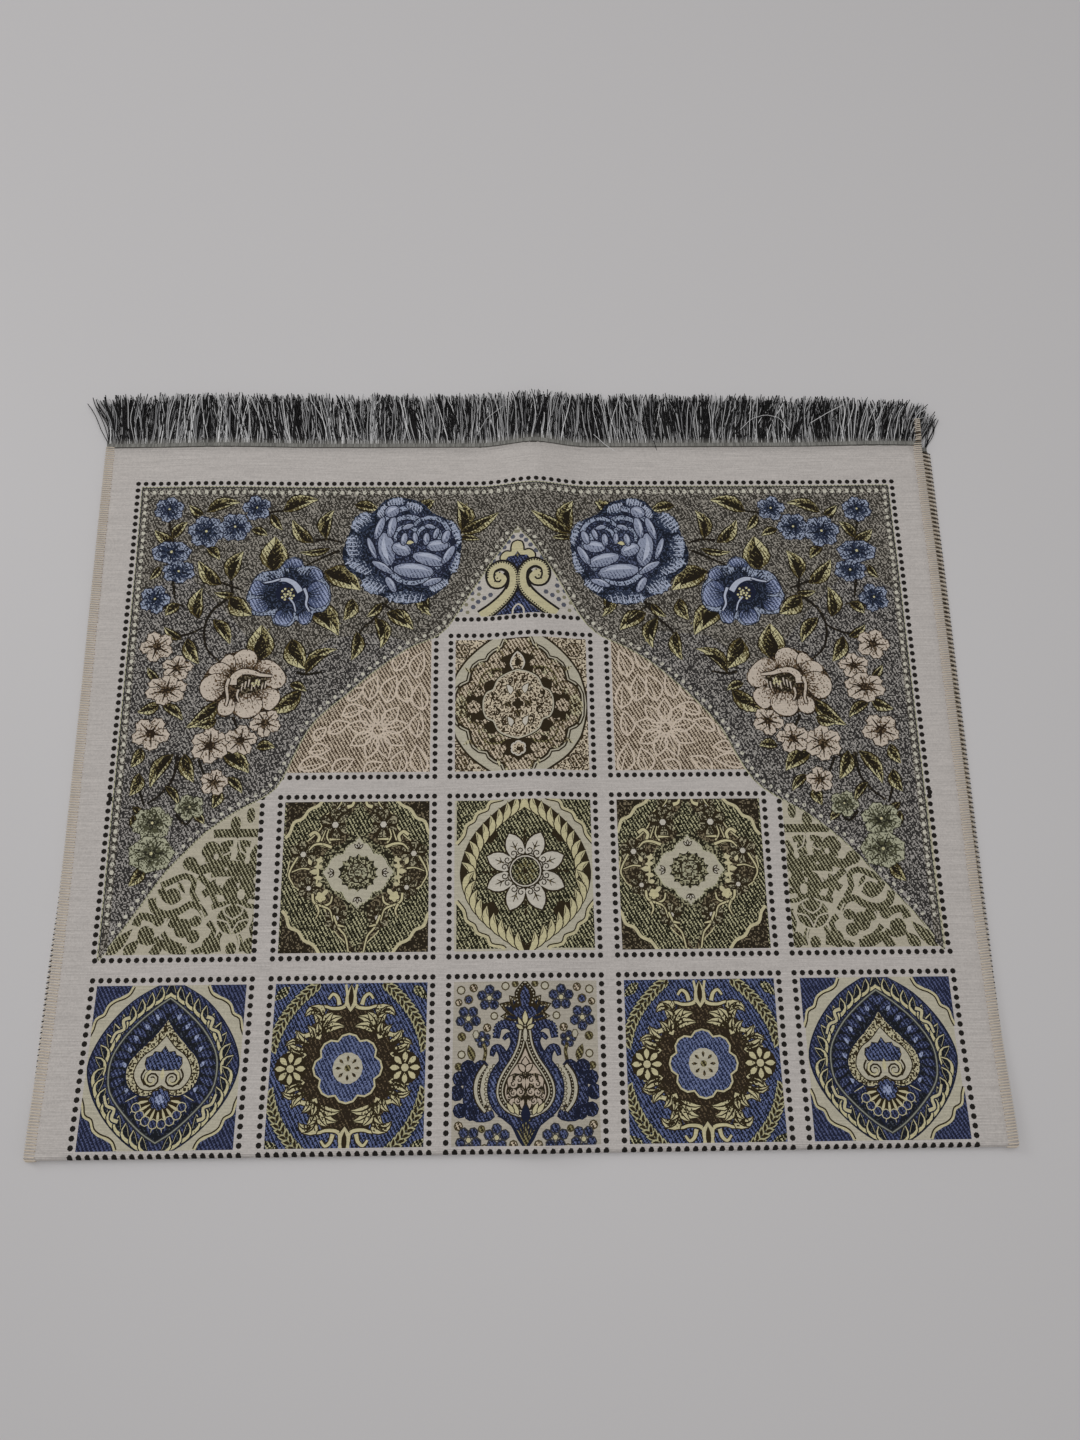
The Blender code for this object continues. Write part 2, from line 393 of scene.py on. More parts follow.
ECRU = plain(dyed(170, 165, 161))
CREAM = plain(dyed(164, 159, 142))
IVORY = plain(dyed(176, 171, 160))
YELLOW = plain(dyed(173, 166, 134))
BLACK = plain(dyed(28, 25, 22))
DARK_BROWN = plain(dyed(40, 32, 18))
NAVY = plain(dyed(22, 27, 46))
SLATE = plain(dyed(50, 50, 52))
ASH = plain(dyed(156, 150, 138))
FROND = mixed(dyed(176, 169, 134), dyed(42, 34, 17), 0.95, 0.7)
BARK = mixed(dyed(110, 100, 80), dyed(34, 28, 18), 0.26, 0.8)
BLUE = mixed(dyed(88, 98, 134), dyed(18, 22, 36), 0.46, 0.4)
BRIGHT_BLUE = mixed(dyed(96, 106, 140), dyed(30, 37, 60), 0.48, 0.4)
SKY = mixed(dyed(140, 149, 176), dyed(60, 70, 98), 0.7, 0.3)
OLIVE = mixed(dyed(126, 119, 84), dyed(40, 34, 18), 0.45)
BROWN = mixed(dyed(104, 92, 66), dyed(40, 33, 19), 0.3)
GREEN = mixed(dyed(170, 166, 132), dyed(25, 24, 13), 0.37, 0.4)
PALE_GREEN = mixed(dyed(164, 162, 136), dyed(72, 71, 50), 0.65)
BEIGE = mixed(dyed(182, 169, 148), dyed(52, 41, 27), 0.52, 0.35)
WHEAT = mixed(dyed(178, 171, 142), dyed(42, 34, 19), 0.56, 0.35)

figures = []


def weave(outline, yarns, images="", shade=None, at=0j):
    """Adds a figure, and its mirror images across x, y or both.

    shade is (start, end, share at the end): the light yarn's share changes between these two places,
    as on a shaded petal.
    """
    light, dark, share, grain = yarns
    start, end, end_share = shade or (0j, 1+0j, share)
    for flip_x in (False, True)[:1 + ("x" in images)]:
        for flip_y in (False, True)[:1 + ("y" in images)]:
            rows = [np.atleast_1d(np.asarray(value, complex)) for value in (outline, start, end)]
            if flip_x:
                rows = [-np.conj(row) for row in rows]
            if flip_y:
                rows = [np.conj(row) for row in rows]
            shape = rows[0] + at
            gaps = np.abs(np.roll(shape, -1) - shape)
            parts = [here + (there - here) * np.arange(count) / count for here, there, count
                     in zip(shape, np.roll(shape, -1), np.ceil(gaps / LONGEST_EDGE).astype(int).clip(1))]
            figures.append((np.concatenate(parts), light, dark, share, end_share,
                            rows[1][0] + at, rows[2][0] + at, grain))


def spun(angle):
    return cmath.exp(1j * math.radians(angle))


def smooth(points, closed=False, steps=3):
    """A curve through the points."""
    points = np.asarray(points, complex)
    if closed:
        before, here, after, beyond = (np.roll(points, shift) for shift in (1, 0, -1, -2))
    else:
        padded = np.concatenate([[2 * points[0] - points[1]], points, [2 * points[-1] - points[-2]]])
        before, here, after, beyond = padded[:-3], padded[1:-2], padded[2:-1], padded[3:]
    share = (np.arange(steps) / steps)[None, :]
    before, here, after, beyond = (row[:, None] for row in (before, here, after, beyond))
    curve = 0.5 * (2 * here + (after - before) * share
                   + (2 * before - 5 * here + 4 * after - beyond) * share ** 2
                   + (3 * here - before - 3 * after + beyond) * share ** 3)
    curve = curve.ravel()
    return curve if closed else np.append(curve, points[-1])


def both_sides(right_half):
    """A closed outline from its right half, which runs from the top to the bottom."""
    right_half = np.asarray(right_half, complex)
    left = -np.conj(right_half[::-1])
    return np.concatenate([right_half, left[np.abs(left.real) > 0.01]])


def four_ways(quarter):
    """A closed outline from its upper right quarter, which runs from the top to the right."""
    quarter = np.asarray(quarter, complex)
    lower = np.conj(quarter[::-1])
    return both_sides(np.concatenate([quarter, lower[np.abs(lower.imag) > 0.01]]))


def disc(centre, radius, corners=10, squash=1.0):
    angles = 2 * math.pi * np.arange(corners) / corners
    return centre + radius * (np.cos(angles) + 1j * squash * np.sin(angles))


def box(low, high):
    return np.array([low, complex(high.real, low.imag), high, complex(low.real, high.imag)])


def stroke(path, width, end_width=None):
    """A band along a path, which may taper to another width."""
    path = np.asarray(path, complex)
    way = np.gradient(path)
    half = np.linspace(width, width if end_width is None else end_width, len(path)) / 2
    side = 1j * way / np.abs(way) * half
    return np.concatenate([path + side, (path - side)[::-1]])


def grown(outline, by):
    """The outline moved outward all round, or inward where the distance is below 0."""
    outline = np.asarray(outline, complex)
    turn = np.sign(np.sum((np.conj(outline) * np.roll(outline, -1)).imag))
    way = np.roll(outline, -1) - np.roll(outline, 1)
    return outline - 1j * turn * by * way / np.maximum(np.abs(way), 1e-6)


def leaf(base, tip, width, bend=0.0, steps=5, halves="both"):
    """A pointed leaf. bend moves its middle aside, in shares of its length; a half is one of its sides."""
    share = np.linspace(0, 1, steps)
    spine = base + (tip - base) * (share + 4j * bend * share * (1 - share))
    reach = 1j * (tip - base) / abs(tip - base) * width / 2 * np.sin(math.pi * share ** 0.8)
    upper, lower = spine + reach, spine - reach
    if halves == "left":
        return np.concatenate([upper, spine[-2:0:-1]])
    if halves == "right":
        return np.concatenate([lower, spine[-2:0:-1]])
    return np.concatenate([upper, lower[-2:0:-1]])


def lobed(centre, radius, lobes, depth, turn=0.0, corners=4, squash=1.0):
    """A round figure with scallops; turn moves the middle of the first lobe from the right."""
    angles = 2 * math.pi * np.arange(lobes * corners) / (lobes * corners)
    reach = radius * (1 - depth * (1 - np.abs(np.cos(lobes * angles / 2)) ** 0.7))
    edge = reach * np.exp(1j * (angles + math.radians(turn)))
    return centre + edge.real + 1j * squash * edge.imag


def scroll(centre, radius, start, turns, width, hand=1, corners=9):
    """A spiral band, wide at its outer end; hand -1 turns it clockwise toward its middle."""
    share = np.linspace(0, 1, max(4, round(corners * abs(turns)) + 1))
    angles = math.radians(start) + hand * 2 * math.pi * turns * share
    return stroke(centre + radius * (1 - 0.8 * share) * np.exp(1j * angles), width, width * 0.6)


def petals(centre, count, inner, outer, width, turn=90.0, bluntness=0.6, corners=5):
    """The outlines of petals round a centre, rounded at their outer ends."""
    share = np.linspace(0, 1, corners)
    reach = np.sin(math.pi * share ** (1 + bluntness)) ** 0.7
    side = (inner + (outer - inner) * share) + 0.5j * width * reach
    outline = np.concatenate([side, np.conj(side[-2:0:-1])])
    return [centre + outline * spun(turn + 360 * number / count) for number in range(count)]


def along(path, gap):
    """Places at an even gap along a path, with the way it runs there."""
    path = np.asarray(path, complex)
    run = np.concatenate([[0], np.cumsum(np.abs(np.diff(path)))])
    count = max(2, round(run[-1] / gap) + 1)
    at = np.linspace(0, run[-1], count)
    places = np.interp(at, run, path.real) + 1j * np.interp(at, run, path.imag)
    ways = np.gradient(places)
    return places, ways / np.abs(ways)


def looped(outline):
    """The outline as a path that comes back to its start."""
    return np.append(outline, outline[0])


def dots(path, gap, radius, yarns, images="", corners=5):
    for place in along(path, gap)[0]:
        weave(disc(place, radius, corners), yarns, images)


def outlined(shape, yarns, edge=None, by=0.8, images="", shade=None):
    """A figure with a fine line of another yarn round it."""
    weave(grown(shape, by), edge or DARK_BROWN, images)
    weave(shape, yarns, images, shade=shade)


def leaf_border(vine, gap, reach, wide, yarns, edge, core):
    """Curled leaves in a row along a line, all leaning toward the upright, with its mirror image.

    core is how much of each leaf's width its dark middle takes.
    """
    for place, way in zip(*along(vine, gap)):
        lean = way * spun(-34 if place.imag > 0 else 34)
        bend = -0.16 if place.imag > 0 else 0.16
        outlined(leaf(place - lean * reach, place + lean * reach, wide, bend, 6), yarns, edge, 0.8, "x")
        core_tip = place + lean * reach * (core - 0.1)
        weave(leaf(place - lean * reach * 0.9, core_tip, wide * core, bend), edge, "x")


# The whole face: ecru ground with fine ribs. The tiles that fill the niche stand in four rows of five. Each
# tile is drawn round its own middle and then set into its places, mirrored where its column is on the
# right. The two tables hold the middle of each column and row, and half the tile's size there.
COLUMNS_MM = ((-252.5, 57.0), (-124.0, 58.0), (0.5, 55.0), (126.0, 58.0), (253.5, 58.0))
ROWS_MM = ((60.6, 58.6), (192.6, 59.4), (324.4, 57.1), (455.5, 60.5))
FIELD_INSET = 3.7

weave(box(complex(-HALF_WIDTH, LOWER_END), complex(HALF_WIDTH, UPPER_END)), ECRU)


def tile_field(column, row, yarns, shift=0j):
    half = complex(COLUMNS_MM[column][1], ROWS_MM[row][1]) - complex(FIELD_INSET, FIELD_INSET)
    weave(box(-half - shift, half - shift), yarns)


def set_tile(row, columns, first, shift=0j):
    """Moves the figures drawn since the first one into the tile's places in a row."""
    drawn = figures[first:]
    del figures[first:]
    for column in columns:
        middle = complex(COLUMNS_MM[column][0], ROWS_MM[row][0])

        def placed(spots):
            spots = spots + shift
            return middle + (-np.conj(spots) if column > 2 else spots)

        for outline, *yarns, start, end, grain in drawn:
            figures.append((placed(outline), *yarns, placed(start), placed(end), grain))


# Blue tile with a drop: corners of blue twill, a cream ring, a pointed oval with a border of curled
# leaves, and within it petals round a drop with a shell flower.
first = len(figures)
tile_field(0, 0, CREAM)
DEEP_BLUE = mixed(dyed(74, 81, 114), dyed(25, 29, 48), 0.4, 0.35)
MIDNIGHT = mixed(dyed(60, 66, 76), dyed(20, 22, 28), 0.25, 0.6)
corner = np.array([54.3+54.9j, 26+54.9j, 28+51j, 34+48j, 40+44j, 44+38j, 49+33j, 52.5+25j, 54.3+20j])
weave(corner, DEEP_BLUE, "xy")
corner_line = smooth([54+21j, 52+26j, 50.5+32j, 45.5+35j, 43+41j, 38.5+44.5j, 33+46.5j, 29+49.5j,
                      26.5+54.5j])
weave(stroke(corner_line, 2.4), YELLOW, "xy")
weave(stroke(corner_line - 0.6 - 0.6j, 1.0), DARK_BROWN, "xy")
oval = smooth([59j, 12+53.5j, 27+44j, 40+30j, 49+15j, 53+0j, 49-16j, 40-31j, 27-45j, 13-55j, -59j])
weave(both_sides(oval), NAVY)
weave(both_sides(oval - 1.2), DEEP_BLUE)
vine = smooth([3+51j, 16+43j, 28+33j, 37.5+21j, 43.5+6j, 44-8j, 38-23j, 28-36j, 16-46j, 6-52j])
leaf_border(vine, 7.8, 7.6, 5.2, FROND, MIDNIGHT, 0.68)
for high in (1, -1):
    bracket = smooth([27+33j, 31.5+31j, 30.5+25j, 36+22.5j, 38.5+16j])
    bracket = bracket if high > 0 else np.conj(bracket) - 3j
    weave(stroke(bracket, 4.4, 3.2), NAVY, "x")
    weave(stroke(bracket, 2.4, 1.6), YELLOW, "x")
inner = both_sides(smooth([46j, 11+38j, 25+25j, 35+10j, 37.5-3j, 35-17j, 24-31j, 11-43j, -50j]))
weave(grown(inner, 1.3), MIDNIGHT)
for place, way in zip(*along(smooth([1+38j, 11+29j, 22.5+16j, 29+3j, 30-10j, 25-21j]), 6.0)):
    out = -1j * way * spun(-14)
    outlined(leaf(place - out * 7.0, place + out * 5.0, 5.2, -0.06), DEEP_BLUE, MIDNIGHT, 0.7, "x")
    weave(leaf(place - out * 4.5, place + out * 3.0, 2.0, -0.06), BLUE, "x")
for place in (8+33j, 14.5+26.5j, 21.5+19j, 25+11j, 27.5+1j, 24-16j):
    weave(leaf(place - 1.4 - 2j, place + 1.4 + 2j, 2.6, 0.1), SKY, "x")
weave(stroke(looped(inner), 2.0), SLATE)
weave(stroke(looped(inner), 0.8), plain(dyed(126, 128, 116)))
for base, tip, width in ((14-18j, 25-24j, 8), (14-22j, 20-32j, 8), (9-28j, 12-40j, 7), (2-34j, 4-45j, 6)):
    outlined(leaf(base, tip, width, 0.1), DEEP_BLUE, NAVY, 0.6, "x")
    weave(leaf(base, tip, width * 0.4, 0.1), NAVY, "x")
    weave(stroke([base + (tip - base) * 0.2, tip - (tip - base) * 0.15], 0.7, 0.4), YELLOW, "x")
weave(disc(-21.5j, 14.8, 16), DARK_BROWN)
for outline in petals(-21.5j, 18, 6.0, 15.4, 1.9, 90, 0.8):
    weave(outline, YELLOW)
for turn in range(-160, -10, 20):
    outlined(disc(-21.5j + 16.6 * spun(turn), 2.9, 8), DEEP_BLUE, YELLOW, 0.6)
heart = both_sides(smooth([31j, 6+22.5j, 15.5+12.5j, 23+4j, 25.3-5j, 22-14j, 13-19.5j, 5-18j, -14.5j]))
weave(grown(heart, 1.0), NAVY)
weave(heart, mixed(dyed(172, 165, 136), dyed(42, 34, 19), 0.6, 0.9))
for inset, gap in ((1.3, 2.6), (3.8, 2.4)):
    dots(looped(grown(heart, -inset)), gap, 0.6, DARK_BROWN, corners=4)
field = both_sides(smooth([20j, 7+12j, 14+7j, 18.5+0j, 19.3-7j, 14-14.5j, 6-15.5j, -12.5j]))
weave(grown(field, 0.8), DARK_BROWN)
weave(field, CREAM)
cloud = both_sides([13j, 2.5+9j, 7+9.5j, 8+7j, 12+5.5j, 12.6+1.5j, 11-2.2j, -2.6j])
weave(grown(cloud, 0.7), DARK_BROWN)
weave(cloud, BLUE)
weave(scroll(7-8.6j, 6.0, 80, 2.1, 1.5, -1), DARK_BROWN, "x")
weave(scroll(7-8.6j, 6.0, 80, 0.8, 1.5, -1), YELLOW, "x")
weave(stroke(smooth([12.4-2j, 14.5-7j, 11.5-12.5j]), 1.3), DARK_BROWN, "x")
weave(leaf(-9.5j, -1j, 3.0), YELLOW)
weave(lobed(-22j, 8.2, 8, 0.2, 90), DARK_BROWN)
weave(lobed(-22j, 7.2, 8, 0.2, 90), BLUE)
weave(lobed(-22j, 3.4, 6, 0.3, 90), SKY)
set_tile(0, (0, 4), first)

# Blue and brown tile: blue twill crossed at the corners by chains of olive leaves, a dark brown medallion
# framed by curled cream leaves, and an eight-lobed blue flower in the middle.
first = len(figures)
tile_field(1, 0, BLUE, -3j)
CHAIN = mixed(dyed(158, 154, 120), dyed(40, 38, 24), 0.75, 0.5)
for high in (1, -1):
    corner = leaf(44+56j, 55+46j, 7)
    weave(corner if high > 0 else np.conj(corner), GREEN, "x")
    chain = smooth([25+57j, 36+47j, 45+36j, 51+24j, 54+14j])
    chain = chain if high > 0 else np.conj(chain) - 2j
    weave(stroke(chain, 9.0), NAVY, "x")
    for place, way in zip(*along(chain, 4.6)):
        for side in (1, -1):
            base, tip = place - way * 2.6 + side * 0.6j * way, place + way * 3.2 + side * 4.2j * way
            weave(leaf(base, tip, 4.2, -0.1 * side, 4), CHAIN, "x")
            weave(leaf(base, base + (tip - base) * 0.8, 2.3, -0.1 * side, 4), DARK_BROWN, "x")
medallion = four_ways(smooth([40j, 14+41j, 20+33j, 27+29j, 29+19j, 35+12j, 37+0j]))
weave(medallion, mixed(dyed(92, 79, 60), dyed(38, 30, 20), 0.3, 0.5))
for path, wide in (
    ((2+44j, 6+41j, 13+40.5j, 19+42j, 25+38.5j), 2.6), ((8+43j, 9.5+48j, 13+50.5j, 16+47j), 2.8),
    ((30+10j, 34+7j, 38+10j, 43+11j), 2.4), ((20+21j, 27+23j, 32+22j, 38+25j), 3.4),
):
    curve = smooth(path)
    weave(stroke(curve, wide + 1.6, wide * 0.5 + 1.4), DARK_BROWN, "xy")
    weave(stroke(curve, wide, wide * 0.5), FROND, "xy", shade=(curve[0], curve[-1], 1.2))
for base, tip, wide, bend in (
    # the acanthus leaf near the axis, the large curled one at the corner, and those toward the side
    (19+24j, 5+35j, 7.0, -0.2), (19+24j, 3+28j, 5.5, -0.15), (20+27j, 12+38j, 6.0, -0.1),
    (20+33j, 29+42j, 8.0, 0.25), (23+38j, 32+35j, 5.0, 0.3), (22+29j, 26+37j, 4.6, 0.2),
    (25+19j, 30+29j, 4.4, 0.2), (27+16j, 37+26j, 4.8, -0.2), (29+12j, 44+19j, 5.4, -0.2),
    (31+9j, 41+14j, 3.4, -0.2), (22+22j, 23+31j, 4.0, 0.1), (33+17j, 45+15j, 3.4, 0.2),
):
    outlined(leaf(base, tip, wide, bend), FROND, images="xy", shade=(base + (tip - base) * 0.7, base, 0.2))
    weave(stroke(leaf(base, tip, 0.01, bend, 5)[:5], 1.6, 0.5), DARK_BROWN, "xy")
    vein = base + (tip - base) * 0.45
    weave(stroke([vein, vein + (tip - base) / abs(tip - base) * spun(50) * wide * 0.4], 1.0, 0.4),
          DARK_BROWN, "xy")
outlined(leaf(38j, 57j, 8.4), YELLOW, images="y")
weave(leaf(41j, 57j, 3.8), DARK_BROWN, "y")
weave(stroke([3.6+42j, 2.8+50j, 4+57j], 1.7), YELLOW, "xy")
weave(disc(40, 11.4, 12), DARK_BROWN, "x")
for outline in petals(40, 8, 3.2, 10.6, 3.8, 90, 0.3):
    weave(outline, FROND, "x", shade=(40 + (outline.mean() - 40) * 0.9, 40, 0.3))
outlined(disc(40, 2.7, 8), YELLOW, images="x")
weave(lobed(0, 26.0, 8, 0.14, 90, squash=0.96), DARK_BROWN)
outlined(lobed(0, 23.4, 8, 0.16, 90, squash=0.96), BRIGHT_BLUE, YELLOW, 1.3)
weave(disc(0, 10.6, 14), CREAM)
for outline in petals(0, 8, 4.2, 8.6, 2.2, 90, 0.4, 4):
    weave(outline, BROWN)
weave(disc(0, 2.4, 7), OLIVE)
set_tile(0, (1, 3), first, -3j)

# Middle tile of the first row: a cream ground strewn with ringed dots and small blue flowers, and a tall
# vase-shaped drop held by blue bands, with a blue palmette over it and lobed leaves at its sides.
first = len(figures)
LINE = plain(dyed(70, 62, 42))
INDIGO = mixed(dyed(80, 88, 122), dyed(20, 23, 38), 0.42, 0.45)
tile_field(2, 0, ASH)
for x, y, radius, yarns in (
    (14, 51.5, 3.0, CREAM), (46, 49, 3.1, CREAM), (22, 31, 2.8, CREAM), (45, 5, 2.9, CREAM),
    (28.5, -56, 2.4, CREAM), (7, 53, 2.5, OLIVE), (37, 50.5, 3.0, BEIGE), (47.5, 40.5, 2.6, BEIGE),
    (27, 23, 3.0, BEIGE), (45, 17, 3.1, OLIVE), (47, -3, 2.7, OLIVE), (46.5, -42, 3.1, BEIGE),
    (30.5, -44, 2.5, OLIVE), (8.5, -54, 3.0, BEIGE), (40.5, 42.5, 3.3, INDIGO),
):
    outlined(disc(complex(x, y), radius - 0.8, 8), yarns, LINE, 1.0, "x")
for centre, turn, size in (
    (25.5+43.5j, 90, 1), (40.5+29.5j, -90, 1), (20-49.5j, 90, 1), (39.5-51j, -90, 1), (30+15j, 80, 0.62),
):
    for petal in range(5):
        middle = centre + 5.7 * size * spun(turn + 72 * petal)
        outlined(disc(middle, 2.9 * size, 7), INDIGO, SLATE, 1.0, "x")
        weave(disc(middle + (middle - centre) * 0.12, 1.0 * size, 5), BRIGHT_BLUE, "x")
    outlined(disc(centre, 1.7 * size, 6), YELLOW, SLATE, 0.7, "x")
outlined(stroke(smooth([29.5+12j, 28+7j, 29+1j]), 1.2), OLIVE, LINE, 0.7, "x")
outlined(leaf(36.5+1j, 40+11j, 4.2), OLIVE, LINE, 0.8, "x")
outlined(disc(35+18.5j, 1.9, 6, 1.4), CREAM, LINE, 0.7, "x")
# side leaves: round lobes on a dark spray, then the cream crescent with its row of beads
spray = smooth([29-4j, 38-3j, 42-12j, 43-26j, 38-37j, 29-39j, 22-36j, 26-30j, 34-25j], closed=True, steps=2)
outlined(spray, INDIGO, NAVY, 0.8, "x")
for centre, radius in (
    (31-4j, 4.6), (40-4j, 4.8), (46-11j, 4.4), (48-20.5j, 4.6), (45.5-32j, 4.3), (38-34j, 4.0),
):
    outlined(disc(centre, radius, 9), INDIGO, NAVY, 0.9, "x", (centre + radius, centre - radius, 0.15))
    inner = 34-20j + (centre - 34 + 20j) * 0.2
    weave(stroke([centre, inner], 1.1, 0.6), NAVY, "x")
crescent = smooth([27.5-3j, 32.5-10j, 34.3-18j, 32.5-26j, 27.5-32.5j])
outlined(stroke(crescent, 3.8, 3.0), CREAM, DARK_BROWN, 1.0, "x")
weave(stroke(crescent - 1.4, 1.7), DARK_BROWN, "x")
dots(crescent - 1.4, 2.2, 0.55, CREAM, "x", 4)
weave(stroke(smooth([23-3j, 27.5-10j, 29-18j, 27-28j]), 4.5), CREAM, "x")
for place in along(smooth([22-3j, 26-9j, 27.6-17j, 27-25j, 25-31j]), 3.4)[0]:
    outlined(disc(place, 0.9, 6), CREAM, LINE, 0.7, "x")
# the root, the blue bands and their hooks
root = both_sides(smooth([-34j, 9-36j, 20-35.5j, 13-39j, 9-44j, 5.5-51j, -58j]))
weave(root, NAVY)
for x, y in ((3, -37), (7, -37.5), (12, -37), (0, -38)):
    weave(stroke([complex(x, y), complex(x * 0.45, y - 8), -55j], 1.1, 0.5), OLIVE, "x" if x else "")
band = smooth([5.5+27j, 6+16j, 8+8j, 14+0j, 21-9j, 23-19j, 20-29j, 12-36j, 4-42j])
outlined(stroke(band, 6.4, 5.4), INDIGO, NAVY, 1.0, "x")
weave(stroke(smooth([21-9j, 23.4-19j, 20.5-28j]), 2.2), BRIGHT_BLUE, "x")
for path, wide, end_wide, yarns in (
    ((5+14j, 7.5+22j, 13+25.5j, 19+23.5j, 20.5+16.5j), 6.2, 4.0, INDIGO),
    ((7+10j, 9+16.5j, 12+18j, 15+15.5j), 3.6, 1.4, INDIGO),
    ((15-4j, 15.5+4j, 18.5+9j, 22+8.6j, 23.5+4.4j), 6.0, 2.0, INDIGO),
):
    outlined(stroke(smooth(path), wide, end_wide), yarns, NAVY, 0.9, "x")
dots(smooth([7+27j, 13+29j, 21+26j, 23+18j]), 2.4, 0.6, CREAM, "x", 4)
# the vase
vase = both_sides(smooth([27j, 2.4+22j, 3.4+15j, 5+9j, 9+1j, 14.5-7j, 18.3-15j, 18.6-23j, 14-30.5j, 6-34.5j,
                          -35.5j]))
weave(grown(vase, 2.0), DARK_BROWN)
weave(grown(vase, 1.2), CREAM)
weave(vase, DARK_BROWN)
dots(looped(grown(vase, -1.2)), 2.3, 0.6, CREAM, corners=4)
weave(grown(vase, -2.4), CREAM)
weave(grown(vase, -3.2), DARK_BROWN)
ROSY = plain(dyed(164, 151, 136))
weave(both_sides(smooth([9j, 3.5+1j, 9-6j, 13-14j, 14-22j, 10-28j, -32j])), ROSY)
weave(both_sides(smooth([-6j, 4-8j, 8.5-8j, 12-14j, 13.4-21j, 11.5-26.5j, 7-30.5j, -32j])), BARK)
for base, tip, wide in (
    (-8j, 3j, 3.6), (0.8-7j, 5-1.5j, 3.6), (9-9j, 11.4-17j, 3.0), (0.6-11j, 0.6-18j, 2.4),
    (8-24j, 10.5-30j, 3.0), (1.4-25j, 2.6-31j, 2.8),
):
    outlined(leaf(base, tip, wide, 0.1), ROSY, DARK_BROWN, 0.9, "x")
for centre, radius, hand in (
    (4.4-12j, 3.0, 1), (8.2-15j, 2.8, -1), (3.6-20j, 2.8, 1), (8.6-20.5j, 2.6, -1), (5.4-26j, 2.4, 1),
    (11.6-23j, 1.8, 1),
):
    weave(disc(centre, radius * 0.95, 8), ROSY, "x")
    weave(scroll(centre, radius * 0.8, 90, 0.9, 1.1, hand, 6), DARK_BROWN, "x")
for base, tip in ((5-35j, 8.5-27j), (8-34j, 13-27j)):
    outlined(leaf(base, tip, 3.0), YELLOW, DARK_BROWN, 0.7, "x")
weave(leaf(-40j, -28j, 7.0), NAVY)
outlined(disc(18j, 1.4, 8, 3.4), CREAM, DARK_BROWN, 0.7)
# the palmette over it
for base, tip, wide in ((3+30j, 17+30.5j, 5.5), (3+32j, 18+39j, 8.0), (3+34j, 11+44.5j, 6.5)):
    outlined(leaf(base, tip, wide, 0.05), BROWN, DARK_BROWN, 0.9, "x")
    weave(leaf(base, base + (tip - base) * 0.75, wide * 0.8, 0.05), NAVY, "x")
    dots([base + (tip - base) * 0.55 + 1.6j, tip - (tip - base) * 0.1], 2.2, 0.6, CREAM, "x", 4)
weave(both_sides(smooth([56.5j, 4+52j, 7.6+47j, 6.6+41j, 9+36j, 5+29j, 27j])), DARK_BROWN)
dots(smooth([0.5+54j, 4+50j, 6.2+45.5j, 5+40j]), 2.3, 0.6, CREAM, "x", 4)
weave(both_sides(smooth([52j, 2.6+48j, 3.4+43j, 2.6+38j, 7+36j, 8+32j, 3+29j])), INDIGO)
outlined(leaf(25j, 34.5j, 3.6), YELLOW, DARK_BROWN, 0.8)
for tip in (5+30j, 6.4+25j):
    outlined(leaf(1.5+22j, tip, 2.6), YELLOW, DARK_BROWN, 0.8, "x")
set_tile(0, (2,), first)

# Green tile beside the arch: full green scrollwork in twill on a pale ground. The arch cuts its corner.
first = len(figures)
PALE_GROUND = plain(dyed(164, 158, 141))
weave(box(-56-56j, 56+60j), PALE_GROUND)
LEAFAGE = mixed(dyed(158, 154, 126), dyed(40, 37, 22), 0.38, 0.3)
for path, wide, end_wide in (
    ((22+32j, 28+32.5j, 56+32.5j), 6.4, 6.4), ((17+14j, 25+14j, 26.5+20j, 22+24.5j, 17+23j), 6.0, 4.0),
    ((31+12j, 33+18j, 30+24j, 37+25j), 7.5, 4.5), ((43+12j, 44+19j, 42+25j, 50+24j), 7.5, 4.5),
    ((54+8j, 52+16j, 55.5+23j), 5.0, 4.0), ((6+10j, 14+5j, 26+9j, 40+8j, 56+8j), 7.0, 8.0),
    ((22+2j, 34+3j, 56+3j), 5.0, 6.0), ((-14-6j, -7-3j, 3+1j, 10-3j, 9-11j, 14-19j), 5.0, 4.2),
    ((-14-8j, -11-14j, -5-18j, 1-14j), 6.0, 4.0), ((13+1j, 20-5j, 24-13j, 28-21j), 5.0, 4.0),
    ((17-13j, 24-9j, 32-11j, 36-4j, 44-1j), 5.6, 6.0), ((34-12j, 38-18j, 42-10j, 50-12j, 56-6j), 5.6, 4.0),
    ((-20-15j, -18-23j, -9-27j, 2-24j, 8-20j, 15-22j, 20-29j), 6.0, 5.0),
    ((44-20j, 50-16j, 56-14j), 5.0, 4.0), ((24-22j, 34-19.5j, 46-20.5j, 56-22j), 4.0, 3.4),
    ((-30-35j, -27-28j, -18-30j, -12-34j), 6.5, 5.0), ((-28-44j, -20-47j, -12-44j), 5.0, 4.0),
    ((-16-56j, -10-48j, -2-52j, 8-53j), 7.5, 6.0), ((12-55j, 20-52j, 24-56j), 5.0, 4.0),
    ((31-54j, 30-45j, 34-38j), 4.2, 3.0), ((48-54j, 46-45j, 43-40j), 4.2, 3.0),
    ((56-28j, 54-36j, 56-44j), 4.0, 3.6), ((22-33j, 27-38j, 25-44j), 4.6, 4.0),
    ((-10-40j, -4-46j, 4-50j), 5.0, 5.0),
):
    weave(stroke(smooth(path, steps=2), wide, end_wide), LEAFAGE)
